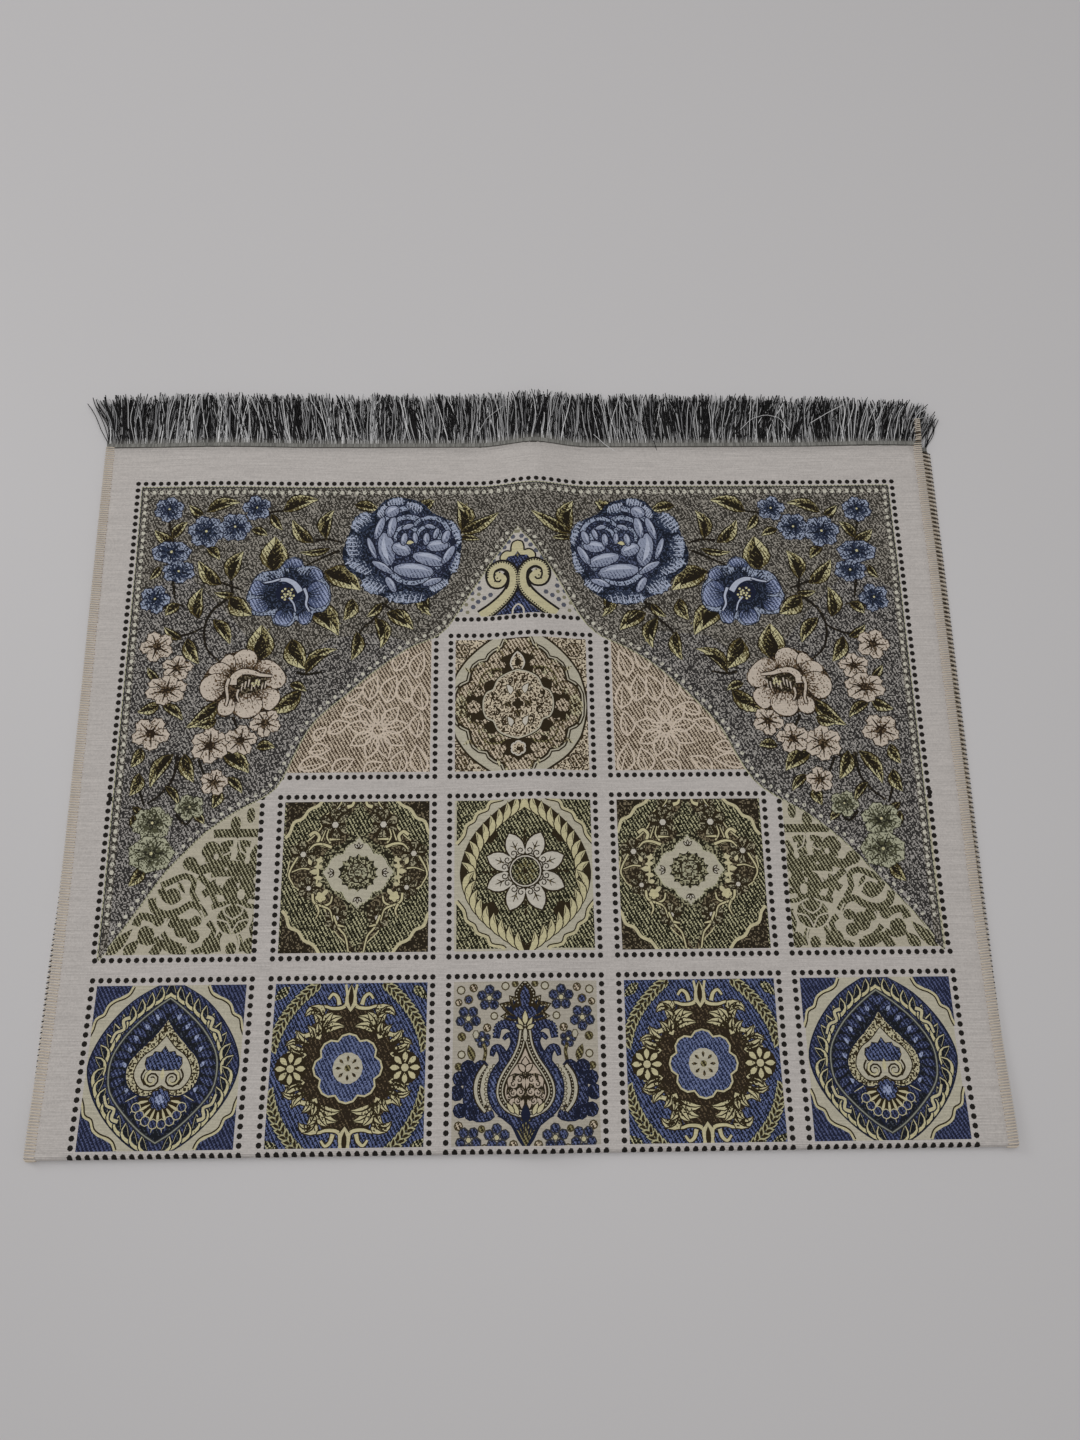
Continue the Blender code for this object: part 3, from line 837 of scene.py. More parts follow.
for centre, radius, squash in (
    (6+10j, 5.6, 0.95), (19+19j, 5.2, 1.0), (38+39.5j, 4.0, 1.5), (49+46j, 3.2, 1.9), (-5-13j, 5.8, 0.9),
    (26-5j, 4.2, 0.8), (37-8j, 5.0, 1.0), (49-5j, 5.0, 1.1), (-22-41j, 6.2, 1.0), (-14-31j, 4.6, 1.0),
    (4-37j, 6.5, 1.1), (13-32j, 4.6, 0.9), (12-43j, 5.0, 1.0), (25-49j, 6.2, 1.0), (40-31j, 12.0, 0.9),
    (53-50j, 4.6, 1.3), (40-52j, 4.0, 1.2), (-3-32j, 5.0, 1.0),
):
    weave(disc(centre, radius, 11, squash), LEAFAGE)
weave(stroke([45-20j, 50+2j], 9), LEAFAGE)
for base, tip, wide in (
    (-50-57j, -32-37j, 9), (-37-57j, -27-45j, 9), (-2-3j, 4-12j, 3.6), (40+28j, 40+37j, 3.6),
):
    weave(leaf(base, tip, wide), LEAFAGE)
for path, wide in (
    ((40-31j, 34-27j, 33-23j), 1.2), ((40-31j, 46-27j, 47-23j), 1.2), ((28-31j, 36-33j, 40-41j), 1.2),
    ((52-31j, 44-33j, 40-41j), 1.2), ((38-20j, 27-26j, 28-36j, 40-43j, 52-36j, 53-26j, 42-20j), 1.3),
    ((30+16j, 36+19j, 39+27j), 1.2), ((49+16j, 43+19j, 41+27j), 1.2), ((-6-30j, -8-38j, -2-45j, 8-48j), 1.3),
    ((16-24j, 20-33j, 17-42j), 1.3), ((36-56j, 34-48j, 36-42j), 1.2), ((44-56j, 46-48j, 44-42j), 1.2),
):
    weave(stroke(smooth(path, steps=2), wide), PALE_GROUND)
for centre, radius, squash in (
    (28-3j, 2.4, 1.5), (45-13j, 3.0, 1.4), (25+15j, 2.0, 1.2), (48+12j, 2.0, 1.3), (10-27j, 2.0, 1.4),
    (19-38j, 2.2, 1.3), (-19-35j, 1.8, 1.0), (33+6j, 1.4, 0.8), (52-18j, 2.0, 1.0),
):
    weave(disc(centre, radius, 7, squash), PALE_GROUND)
set_tile(1, (0, 4), first)

# Brown and green tile: dark corners cut by a scalloped cream line, a ring of green twill, a brown field
# with clusters of small flowers and cream scrolls, and a cream quatrefoil round a green rosette.
first = len(figures)
tile_field(1, 1, GREEN, 2+2j)
POSY = mixed(dyed(146, 140, 116), dyed(40, 35, 23), 0.48, 0.7)
SOIL = mixed(dyed(112, 102, 80), dyed(38, 31, 20), 0.36, 0.8)
THICKET = mixed(dyed(140, 136, 108), dyed(32, 29, 18), 0.34, 0.9)
for high in (1, -1):
    corner = smooth([26+58j, 31+51j, 38+47.5j, 42.5+41j, 49+38j, 51.5+30.5j, 55+26j])
    filled = np.append(corner, [55+58j])
    corner, filled = (corner, filled) if high > 0 else (np.conj(corner) - 1j, np.conj(filled) - 1j)
    weave(filled, BARK, "x")
    weave(stroke(corner, 2.3), YELLOW, "x")
brown = smooth([55j, 9+56j, 16+54j, 19+48j, 26+42j, 28+34j, 36+25j, 45+19j, 50+10j, 51.5+0j, 48-8j, 41-13j,
                34-17j, 25-24j, 20-33j, 15-43j, 8-50j, 4-57j, -58j])
weave(grown(both_sides(brown), 0.8), FROND)
weave(both_sides(brown), SOIL)
for centre, radius in ((18+36j, 12.5), (41+14j, 11), (36-11j, 9), (15-33j, 9.5), (16+49j, 6.5)):
    weave(lobed(centre, radius * 0.98, 6, 0.2, 25), DARK_BROWN, "x")
    for outline in petals(centre, 6, radius * 0.2, radius * 0.98, radius * 0.5, 25):
        weave(outline, POSY, "x")
    for petal in range(6):
        way = spun(60 * petal + 25)
        weave(stroke([centre + radius * 0.3 * way, centre + radius * 0.7 * way], 1.1, 0.4), DARK_BROWN, "x")
    weave(disc(centre, radius * 0.2, 6), IVORY, "x")
drop = smooth([56j, 4.5+47j, 10+40j, 9.5+33j, 7+28j, 12+22j, 22+18j, 28+9j, 30+0j, 28-8j, 21-14j, 13-18j,
               8-25j, 7.5-33j, 10-40j, 6-48j, -58j])
weave(both_sides(drop), THICKET)
weave(both_sides(smooth([50j, 4+45j, 3.4+42j, 10.5+40j, 9+35j, 10.5+31j, 4+28j, 27j])), GREEN)
weave(both_sides(smooth([-27j, 6-31j, 9-36j, 8-41j, 4-48j, -54j])), GREEN)
for path, wide, end_wide in (
    ((37+28j, 33+30.5j, 29.5+27j, 30.5+22j, 23+19.5j), 3.0, 2.4), ((21+22j, 24+27j, 22.5+33j), 1.6, 0.9),
    ((22+25j, 14+25j), 2.2, 0.8), ((20+19j, 27+21.5j, 33+21j, 37+17j), 2.6, 1.2),
    ((28+24j, 25+32j), 1.4, 0.7), ((9.5+49.5j, 5.5+51j, 4.4+55.5j), 3.6, 1.6),
    ((13+57j, 14.5+52j, 17.5+48j), 1.4, 0.8), ((45+12j, 49.5+4j, 51-2j, 47.5-8.5j), 1.7, 1.2),
    ((36+3j, 42+3.5j, 49+1j), 1.5, 0.8), ((33-15j, 32-21j, 26-24j, 20-22j, 18.5-17j), 2.2, 1.4),
    ((26-24j, 20-27j, 17.5-35j), 1.8, 1.0), ((30-23j, 28-28j, 30-33j), 2.2, 1.0),
    ((17-31j, 13-40j, 8-46j, 5.5-57j), 1.8, 1.3), ((14-38j, 9-39j), 2.2, 1.0),
    ((27.5+12j, 30+6j, 29.5+0j, 30.5-8j), 2.4, 1.6),
):
    curve = smooth(path)
    outlined(stroke(curve, wide * 0.8, end_wide * 0.8), FROND, DARK_BROWN, 0.7, "x")
outlined(lobed(27-17.5j, 4.0, 5, 0.25, 60), FROND, DARK_BROWN, 0.7, "x")
for base, tip, wide in (
    (26+9j, 32+10j, 3.4), (26+5j, 33+4.5j, 3.4), (29+1j, 36+1j, 4.2), (26-4j, 33-3j, 3.4),
    (26-8j, 31-9j, 3.4), (35+6j, 37+11j, 3.0), (22-12j, 26-17j, 3.6),
):
    weave(leaf(base, tip, wide), YELLOW, "x")
quatrefoil = four_ways(smooth([26j, 2.6+22.5j, 6+21j, 9.5+17.6j, 11+14j, 16+13j, 20+9.6j, 21.5+6j, 26+0j],
                              steps=2))
weave(grown(quatrefoil, 0.9), PALE_GREEN)
weave(quatrefoil, CREAM)
weave(lobed(0, 15.2, 14, 0.36, 90, 3, 0.93), THICKET)
weave(lobed(0, 11.6, 14, 0.2, 90, 3, 0.95), mixed(dyed(156, 153, 126), dyed(44, 40, 24), 0.45, 1.0))
for radius, wide in ((8.0, 1.0), (3.4, 0.9)):
    weave(disc(0, radius, 10), BARK)
    weave(disc(0, radius - wide, 10), mixed(dyed(150, 148, 124), dyed(52, 46, 30), 0.5, 1.0))
for way in (1, -1, 1j, -1j):
    for turn in (-40, 0, 40):
        foot = 17.4 * way
        weave(leaf(foot, foot + 5.6 * way * spun(turn), 2.6), DARK_BROWN)
        weave(leaf(foot + 1.4 * way * spun(turn), foot + 4.4 * way * spun(turn), 1.0), IVORY)
set_tile(1, (1, 3), first, 2+2j)

# Middle tile of the second row: green, with a pointed oval edged by curled cream leaves and a flower of
# eight cream petals with pairs of small spirals at their feet.
first = len(figures)
tile_field(2, 1, CREAM, 1.5+1.5j)
weave([51.2+55.6j, 17+55.6j, 19+54j, 26+52j, 28+47.5j, 36+44j, 38+38.5j, 44+34.5j, 45.5+28j, 51.2+21j],
      GREEN, "xy")
line = smooth([15.5+56j, 18+54j, 26+52.3j, 28.4+47j, 35.6+44j, 38.2+38.6j, 43.6+35j, 45.5+28j, 51+21j])
weave(stroke(line, 3.0), YELLOW, "xy")
weave(stroke(line - 0.9 - 0.7j, 0.9), DARK_BROWN, "xy")
oval = both_sides(smooth([60j, 5+56j, 17+49j, 28+40j, 38+29j, 45+16j, 48.8+0j, 46-15j, 39-28j, 28-40j,
                          16-49j, 5-56j, -59j]))
weave(oval, DARK_BROWN)
weave(grown(oval, -5.6), GREEN)
for place in (27+28.5j, 27-28.5j):
    weave(lobed(place, 7.2, 5, 0.2, 40), DARK_BROWN, "x")
vine = smooth([3+53j, 14+46j, 25+37j, 35+25j, 41+13j, 43+0j, 41-13j, 35-25j, 25-36j, 14-45j, 3-53j])
leaf_border(vine * 0.985, 7.6, 9.0, 4.6, FROND, DARK_BROWN, 0.12)
for number, outline in enumerate(petals(0, 8, 10.0, 30.5, 13.0, 22.5, -0.1, 7)):
    way = spun(22.5 + 45 * number)
    outlined(outline, IVORY, DARK_BROWN, 1.3)
    weave(stroke([13 * way, 24 * way], 1.6, 0.6), BROWN)
    for turn in (-24, 24):
        weave(stroke([19 * way, 19 * way + 4 * way * spun(turn * 2)], 1.0, 0.4), BROWN)
    for side in (-1, 1):
        weave(disc(15.6 * way * spun(side * 11), 3.2, 8), IVORY)
        weave(scroll(15.6 * way * spun(side * 11), 3.0, 22.5 + 45 * number + 180, 1.1, 1.1, side, 7),
              DARK_BROWN)
for radius, yarns in ((12.6, DARK_BROWN), (11.6, IVORY), (10.7, DARK_BROWN), (10.0, GREEN)):
    weave(disc(0, radius, 18), yarns)
for outline in petals(0, 8, 2.5, 8.5, 3.0, 0, 0.3, 4):
    weave(outline, OLIVE)
weave(disc(0, 2.2, 6), DARK_BROWN)
for way in (1, -1, 1j, -1j):
    for reach, wide in ((25, 2.6), (31, 2.0)):
        weave(leaf((reach - 4) * way, (reach + 2) * way, wide), DARK_BROWN)
set_tile(1, (2,), first, 1.5+1.5j)

# Beige tile beside the arch: twill in two beiges, crossed by the pale outlines of a large daisy and
# leaves.
first = len(figures)
BLUSH = plain(dyed(183, 170, 155))
weave(box(-56-55j, 56+56j), BLUSH)
weave(box(-54-54j, 54+55j), mixed(dyed(180, 166, 147), dyed(60, 47, 33), 0.5, 0.35))
daisy = 14-20j
cells = [leaf(daisy + 5 * spun(turn), daisy + 24 * spun(turn), 11) for turn in range(10, 370, 40)]
cells.append(disc(daisy, 4.6, 9))
for base, tip, wide in (
    (30-55j, 34-36j, 13), (50-55j, 44-32j, 13), (-38-37j, -22-35j, 9), (-46-50j, -22-45j, 11),
    (-20-55j, -4-43j, 11), (4-55j, 18-46j, 10), (-24-22j, -8-14j, 10), (-14-8j, 4-2j, 10),
    (6+4j, 12+24j, 12), (20+2j, 27+24j, 13), (36+2j, 34+24j, 13), (48-4j, 46+18j, 13), (26+28j, 36+44j, 11),
    (42+22j, 48+44j, 12), (44-26j, 46-6j, 11), (-10+4j, 2+14j, 9), (-34-28j, -26-18j, 8),
):
    cells.append(leaf(base, tip, wide, 0.08, 6))
for cell in cells:
    weave(stroke(looped(cell), 1.5), BLUSH)
    weave(stroke([cell[0], cell[0] * 0.3 + cell[len(cell) // 2] * 0.7], 1.3, 0.6), BLUSH)
set_tile(2, (1, 3), first)

# Middle tile of the third row, brown and beige: speckled corners with a rosette, a cream ring inside a
# scalloped outline, a beige twill field and a lobed medallion with pendants, arabesques and flowers.
first = len(figures)
SAND = mixed(dyed(184, 171, 150), dyed(66, 53, 36), 0.54, 0.35)
GRAVEL = mixed(dyed(184, 172, 150), dyed(56, 44, 28), 0.54, 0.8)
HAZEL = mixed(dyed(132, 120, 90), dyed(44, 36, 22), 0.4, 0.4)
tile_field(2, 2, GRAVEL, -2.5-1j)
weave(lobed(44+45j, 6.6, 6, 0.15), DARK_BROWN, "xy")
weave(lobed(44+45j, 5.6, 6, 0.15), SAND, "xy")
for outline in petals(44+45j, 6, 1.2, 4.8, 2.2, 90, 0.3, 4):
    weave(outline, BROWN, "xy")
circle = both_sides(smooth([61j, 16+56j, 27+49j, 37+40j, 44+31j, 49+21j, 53+0j, 49-21j, 44-31j, 37-40j,
                            27-48j, 16-55j, -60j]))
weave(grown(circle, 1.6), DARK_BROWN)
weave(circle, CREAM)
quarter = [58j, 11+56j, 14+49j, 20+46j, 24+42.5j, 25.5+39j, 31+38j, 36+34j, 39+28j, 40.5+21j, 45+19j, 49+15j,
           51.5+9j, 52+0j]
scalloped = four_ways(quarter)
for inset, yarns in ((0.0, DARK_BROWN), (-1.2, CREAM), (-2.2, DARK_BROWN), (-4.0, SAND)):
    weave(grown(scalloped, inset), yarns)
weave(disc(44-1j, 6.5, 10, 1.4), WHEAT, "x")
weave(disc(44-1j, 1.7, 6), DARK_BROWN, "x")
for path, wide, yarns in (
    ((9+28j, 16+29.5j, 24+28j, 29+22j, 30+13j), 2.0, OLIVE), ((12+23j, 20+25.5j, 25+21j), 5.0, WHEAT),
    ((9-28j, 16-31j, 25-29j, 30-22j, 30-14j), 2.0, OLIVE), ((12-24j, 20-26.5j, 26-21j), 5.0, WHEAT),
    ((31+12j, 38+9j, 41+3j), 2.0, BROWN), ((31-14j, 38-11j, 41-5j), 2.0, BROWN),
):
    weave(stroke(smooth(path), wide, wide * 0.6), yarns, "x")
for centre, wide, high in (
    (21+15j, 6.0, 6.2), (21-18j, 6.0, 5.6), (29+4j, 5.0, 5.0), (29-8j, 4.6, 4.6), (36+4j, 4.4, 5.6),
    (36-9j, 4.4, 6.0), (17+27j, 4.0, 2.4), (19-28j, 4.0, 2.4), (9+28j, 3.6, 4.6),
):
    weave(lobed(centre, wide, 5, 0.25, 30, 3, high / wide), DARK_BROWN, "x")
for place in (25+23j, 30+13j, 26-24j, 29-16j, 16+25j, 15-27j):
    outlined(disc(place, 2.4, 7), SAND, BROWN, 0.8, "x")
outlined(lobed(34.5-1j, 5.6, 5, 0.25, 90), SAND, DARK_BROWN, 1.2, "x")
weave(disc(34.5-1j, 1.4, 6), DARK_BROWN, "x")
# arabesques on the beige ring, round the medallion
for centre, radius, lean, hand in (
    (14+40j, 4.6, 60, 1), (23+34j, 4.2, 20, -1), (33+27j, 5.0, 0, 1), (36+17j, 4.4, -60, -1),
    (43+12j, 4.0, -90, 1), (30+17j, 3.6, 120, 1), (8+47j, 3.6, 90, -1),
):
    weave(scroll(centre, radius, lean, 0.8, 1.7, hand, 6), HAZEL, "xy")
    weave(disc(centre + radius * spun(lean + 140), 1.5, 5), DARK_BROWN, "xy")
    weave(leaf(centre + radius * 0.9 * spun(lean), centre + radius * 2.1 * spun(lean + 25 * hand), 2.8, 0.1,
               4), WHEAT, "xy")
for outline in petals(44-1j, 6, 1.6, 6.0, 3.0, 90, 0.3, 4):
    weave(outline, HAZEL, "x")
# the pendants over and under the medallion
weave(both_sides([47j, 3.5+42j, 12+38.5j, 16+33j, 11+34j, 9.5+28j, 6+24j, 24j]), DARK_BROWN)
outlined(leaf(10+30j, 13.5+36j, 4.4), SAND, DARK_BROWN, 0.6, "x")
pendant = both_sides(smooth([42j, 3.2+38j, 4.8+33j, 3.2+29j, 1.6+26j, 25j]))
outlined(pendant, GRAVEL, IVORY, 1.1)
weave(leaf(30j, 38.5j, 4.0), DARK_BROWN)
weave(both_sides([-27j, 9-28j, 14-32j, 12-40j, 6-41j, 3-43j, -46j]), DARK_BROWN)
outlined(leaf(10-32j, 13.5-40j, 4.4), SAND, DARK_BROWN, 0.6, "x")
outlined(lobed(-35.5j, 5.0, 6, 0.2, 90), GRAVEL, IVORY, 1.2)
weave(disc(-36j, 1.8, 6), DARK_BROWN)
medallion = four_ways(smooth([27j, 8+24.5j, 15+20j, 18.5+12.5j, 23.5+10j, 26+5j, 26.5+0j]))
weave(grown(medallion, 2.0), DARK_BROWN)
weave(grown(medallion, 1.1), CREAM)
weave(medallion, GRAVEL)
for way in (1j, -1j, 1, -1):
    weave(leaf(12 * 0.1 * way, 12 * way, 5.0), BROWN)
for centre, radius, hand in (
    (9+12j, 4.2, 1), (9-14j, 4.2, -1), (17+6j, 3.6, -1), (17-6j, 3.6, 1), (6+19j, 2.6, 1),
):
    weave(scroll(centre, radius, 90, 0.95, 1.5, hand, 7), DARK_BROWN, "x")
for base, tip in ((5.4+8j, 8.5+16j), (5.4-18j, 8.0-10j)):
    outlined(leaf(base, tip, 4.2, 0.15), IVORY, BROWN, 0.8, "x")
for place in (18-1j, 15-4j, 13+2j, 20+9j, 11-20j, 12+18j):
    weave(disc(place, 1.3, 5), DARK_BROWN, "x")
outlined(lobed(0j, 4.6, 4, 0.3, 90), DARK_BROWN, SAND, 1.0)
set_tile(2, (2,), first, -2.5-1j)

# The triangle at the top of the niche: pale ground with small dots, two yellow volutes and a three-lobed
# palmette with a blue heart.
first = len(figures)
CHALK = plain(dyed(170, 165, 158))
weave([-54-60.5j, 54-60.5j, 12+22j, -12+22j], CHALK)
weave(both_sides([-37j, 4-43j, 10-51j, 18-57.5j]), INDIGO)
weave(stroke(smooth([-4.5-57.5j, -3.8-53j, -49.5j, 3.8-53j, 4.5-57.5j]), 1.4), IVORY)
palmette = both_sides(smooth([5.5j, 3.4+4j, 4.6+0j, 5-3.5j, 9.5-3j, 13-6j, 13.2-10j, 9-13.5j, -14j]))
outlined(palmette, YELLOW, BLACK, 1.3)
weave(both_sides([-3.5j, 2.4-7j, 7.5-7.5j, 9.5-10j, 4-16j, -22j]), INDIGO)
weave(both_sides([-4j, 1.2-7j, -9j]), OLIVE)
volute = smooth([29.5-58j, 19.5-51j, 10.5-43j, 5-35j, 3.6-27j, 5-20j, 9.5-15.5j, 15-14.5j, 20.5-17.5j,
                 22-24j, 19.5-30j, 14-31j, 11-27j, 13.5-23.5j])
weave(stroke(volute, 12.2, 7.6), BLACK, "x")
weave(disc(15.8-24.5j, 4.5, 9), YELLOW, "x")
weave(stroke(volute, 8.4, 4.0), YELLOW, "x")
side = 1j * np.gradient(volute)
side *= np.linspace(4.3, 2.3, len(volute)) / abs(side)
weave(stroke((volute - side)[8:-3], 1.9, 1.3), BLACK, "x")
dots((volute + side * 0.75)[1:-12], 2.1, 0.85, BLACK, "x", 4)
for place in (14.5-20.5j, 18-22.5j, 16.5-25.5j, 14.5-28.5j, 18.5-28j):
    weave(disc(place, 0.8, 4), BLACK, "x")
for places, radius, yarns in (
    ((3.5+9.5j, 7+5.5j, 10.5+1j, 14.8-4j, 19.5-9.5j, 32-27.5j, 31-33.5j, 37-37.5j, 22-39.5j, 27-42j, 42-42j,
      32-45j, 36-49.5j, 46-52j), 2.1, plain(dyed(78, 80, 90))),
    ((37-32j, 31.5-38.5j, 36.5-43j, 47-46.5j, 41.5-47.5j, 40.5-54j, 1+14j), 1.7, plain(dyed(118, 114, 94))),
):
    for place in places:
        weave(disc(place, radius, 6), yarns, "x")
set_tile(3, (2,), first, -1.5)

# Ecru bars and a row of black dots round each tile.
DOT_RADIUS = 2.1
DOT_GAP = 6.13


def dotted(low, high, gap=DOT_GAP):
    """A dot at each even gap along a straight row."""
    for place in along([low, high], gap)[0]:
        weave(disc(place, DOT_RADIUS, 7), BLACK)


for row, (up, half_up) in enumerate(ROWS_MM):
    for column, (across, half_across) in enumerate(COLUMNS_MM):
        if row == 3 or (row == 2 and column in (0, 4)):
            continue
        middle, half = complex(across, up), complex(half_across, half_up)
        inset = 1.8 if column in (0, 4) and row == 1 else FIELD_INSET
        field, bars = half - complex(inset, FIELD_INSET), half + 7 + 7j
        ring = np.concatenate([box(-bars, bars), [-bars], [-field], box(-field, field)[::-1]])
        weave(ring, ECRU, at=middle)
        low, high = middle - half, middle + half
        corners = (low, complex(low.real, high.imag), high, complex(high.real, low.imag))
        gap = complex(0, DOT_GAP)
        for here, there, trim, edge in ((0, 1, gap, 0), (3, 2, gap, 4), (0, 3, 0, 9), (1, 2, 0, 9)):
            if row == 0 or column != edge:
                dotted(corners[here] + trim, corners[there] - trim)
weave(box(-56+386j, 54+397.6j), ECRU)
dotted(-49.6+395.4j, 46+395.4j, 5.7)

# The grey field over the niche lies between a dotted frame and the arch. Its black and silver yarns are
# scattered, warmer at the top and cooler at the sides. Pale dots run inside the frame and along the arch.
FRAME_SIDE, FRAME_TOP, FRAME_FOOT = 310.8, 516.5, 133.3
ARCH_LEFT = smooth([-0.4+474j, -11.5+459.5j, -22+445.5j, -32.5+429.5j, -42.5+413.5j, -51.5+398.5j, -57+390j,
                    -65+382.5j, -76+377j, -90+370.5j, -115+352j, -136+333j, -157+314.6j, -169+296j,
                    -178+275j, -186+260j, -198+251j, -215+242j, -236+227j, -250+212.5j, -265+196j,
                    -277.5+177j, -290+158j, -300+144j, -307+133.5j], steps=2)
ARCH_RIGHT = smooth([-0.4+474j, 11+459.5j, 20.5+445j, 30.5+429.5j, 39.5+413j, 49+397j, 56+388.5j, 65+381j,
                     81+373j, 102+360j, 122.5+341.7j, 139+325j, 156+304j, 166+283j, 177+264j, 191+252j,
                     214+238.5j, 235+222j, 252+205j, 268+186j, 285+167j, 298+150j, 307+135j], steps=2)
GREY_WARM = mixed(dyed(142, 137, 128), dyed(48, 45, 40), 0.42, 0.6)
GREY_COOL = mixed(dyed(148, 144, 139), dyed(42, 40, 39), 0.42, 0.6)
PEARL = mixed(dyed(178, 175, 162), dyed(112, 110, 102), 0.8, 0.8)
edge = FRAME_SIDE - 3.4
top = FRAME_TOP - 3.6
field = np.concatenate([ARCH_LEFT[::-1], ARCH_RIGHT[1:],
                        [edge + 135j, complex(edge, top), complex(-edge, top), -edge + 135j]])
weave(grown(field, 0.9), PALE_GREEN)
weave(field, GREY_WARM)
for sign, arch in ((-1, ARCH_LEFT), (1, ARCH_RIGHT)):
    low_part = arch[17:]
    cool = np.concatenate([low_part + (-sign + 0.5j) * -1.0,
                           [sign * (edge - 6) + 140j, sign * (edge - 6) + 420j, sign * 270 + 440j,
                            sign * 230 + 400j, sign * 190 + 350j, sign * 150 + 380j, sign * 110 + 385j]])
    weave(cool, GREY_COOL)
weave(box(complex(-edge, top - 0.9), complex(edge, top)), SLATE)
for side in (-1, 1):
    weave(box(complex(side * edge - (side > 0) * 0.8, 140), complex(side * edge + (side < 0) * 0.8, top)),
          SLATE)
    dotted(complex(side * FRAME_SIDE, FRAME_FOOT + DOT_GAP), complex(side * FRAME_SIDE, FRAME_TOP))
    for place in along([complex(side * (edge - 3.6), 160), complex(side * (edge - 3.6), top - 4.4)],
                       DOT_GAP)[0]:
        weave(disc(place, 1.7, 5, 1.15), PEARL)
for place in along([complex(-edge + 10, top - 4.6), complex(edge - 10, top - 4.6)], DOT_GAP)[0]:
    weave(disc(place, 1.9, 5, 1.2), PEARL)
dotted(complex(-FRAME_SIDE + DOT_GAP, FRAME_TOP), complex(FRAME_SIDE - DOT_GAP, FRAME_TOP))
for arch in (ARCH_LEFT, ARCH_RIGHT):
    places, ways = along(arch[1:-3], 7.1)
    for place, way in zip(places, ways):
        inward = way * (1j if arch is ARCH_RIGHT else -1j) * 3.9
        weave(disc(place + inward, 1.7, 5), PEARL)

# Stems and leaves of the grey field, the same on both sides. Each leaf has a yellow half and a half in
# shade, fine dark veins and a dark edge.
TWIG = mixed(dyed(74, 66, 50), dyed(24, 20, 14), 0.15, 0.8)
LEAF_LIGHT = mixed(dyed(182, 176, 138), dyed(72, 62, 32), 0.88, 0.45)
LEAF_SHADE = mixed(dyed(136, 127, 88), dyed(36, 30, 17), 0.38, 0.8)
LEAF_EDGE = mixed(dyed(80, 70, 44), dyed(26, 21, 12), 0.12, 0.8)


def ellipse(centre, long, wide, lean=0.0, corners=11):
    return centre + spun(lean) * disc(0, long / 2, corners, wide / long)


first = len(figures)
for path in (
    (-285+488j, -282+476j, -279+464j), (-264+488j, -256+478j),
    (-229+417j, -243+405j, -249+390j, -246+372j, -235+361j), (-229+418j, -231+434j), (-243+430j, -222+422j),
    (-206+489j, -198+491j, -188+492j), (-165+465j, -154+466j, -143+463j), (-145+456j, -158+450j, -175+441j),
    (-105+412j, -115+397j, -126+386j, -128+372j), (-110+410j, -100+403j),
    (-262+286j, -264+268j, -272+256j, -282+248j), (-277+430j, -274+414j), (-285+405j, -275+410j, -266+408j),
    (-278+382j, -262+384j, -250+390j), (-264+284j, -252+282j, -240+290j), (-246+282j, -240+268j),
    (-275+240j, -270+226j), (-290+262j, -284+246j), (-200+300j, -206+312j), (-50+470j, -42+474j, -30+479j),
    (-175+352j, -168+350j, -155+352j), (-212+400j, -222+404j, -229+410j), (-180+330j, -190+322j),
    (-128+440j, -148+440j, -160+434j), (-222+316j, -216+302j), (-260+240j, -252+232j, -246+240j),
):
    weave(stroke(smooth(path), 2.6, 1.6), TWIG, "x")

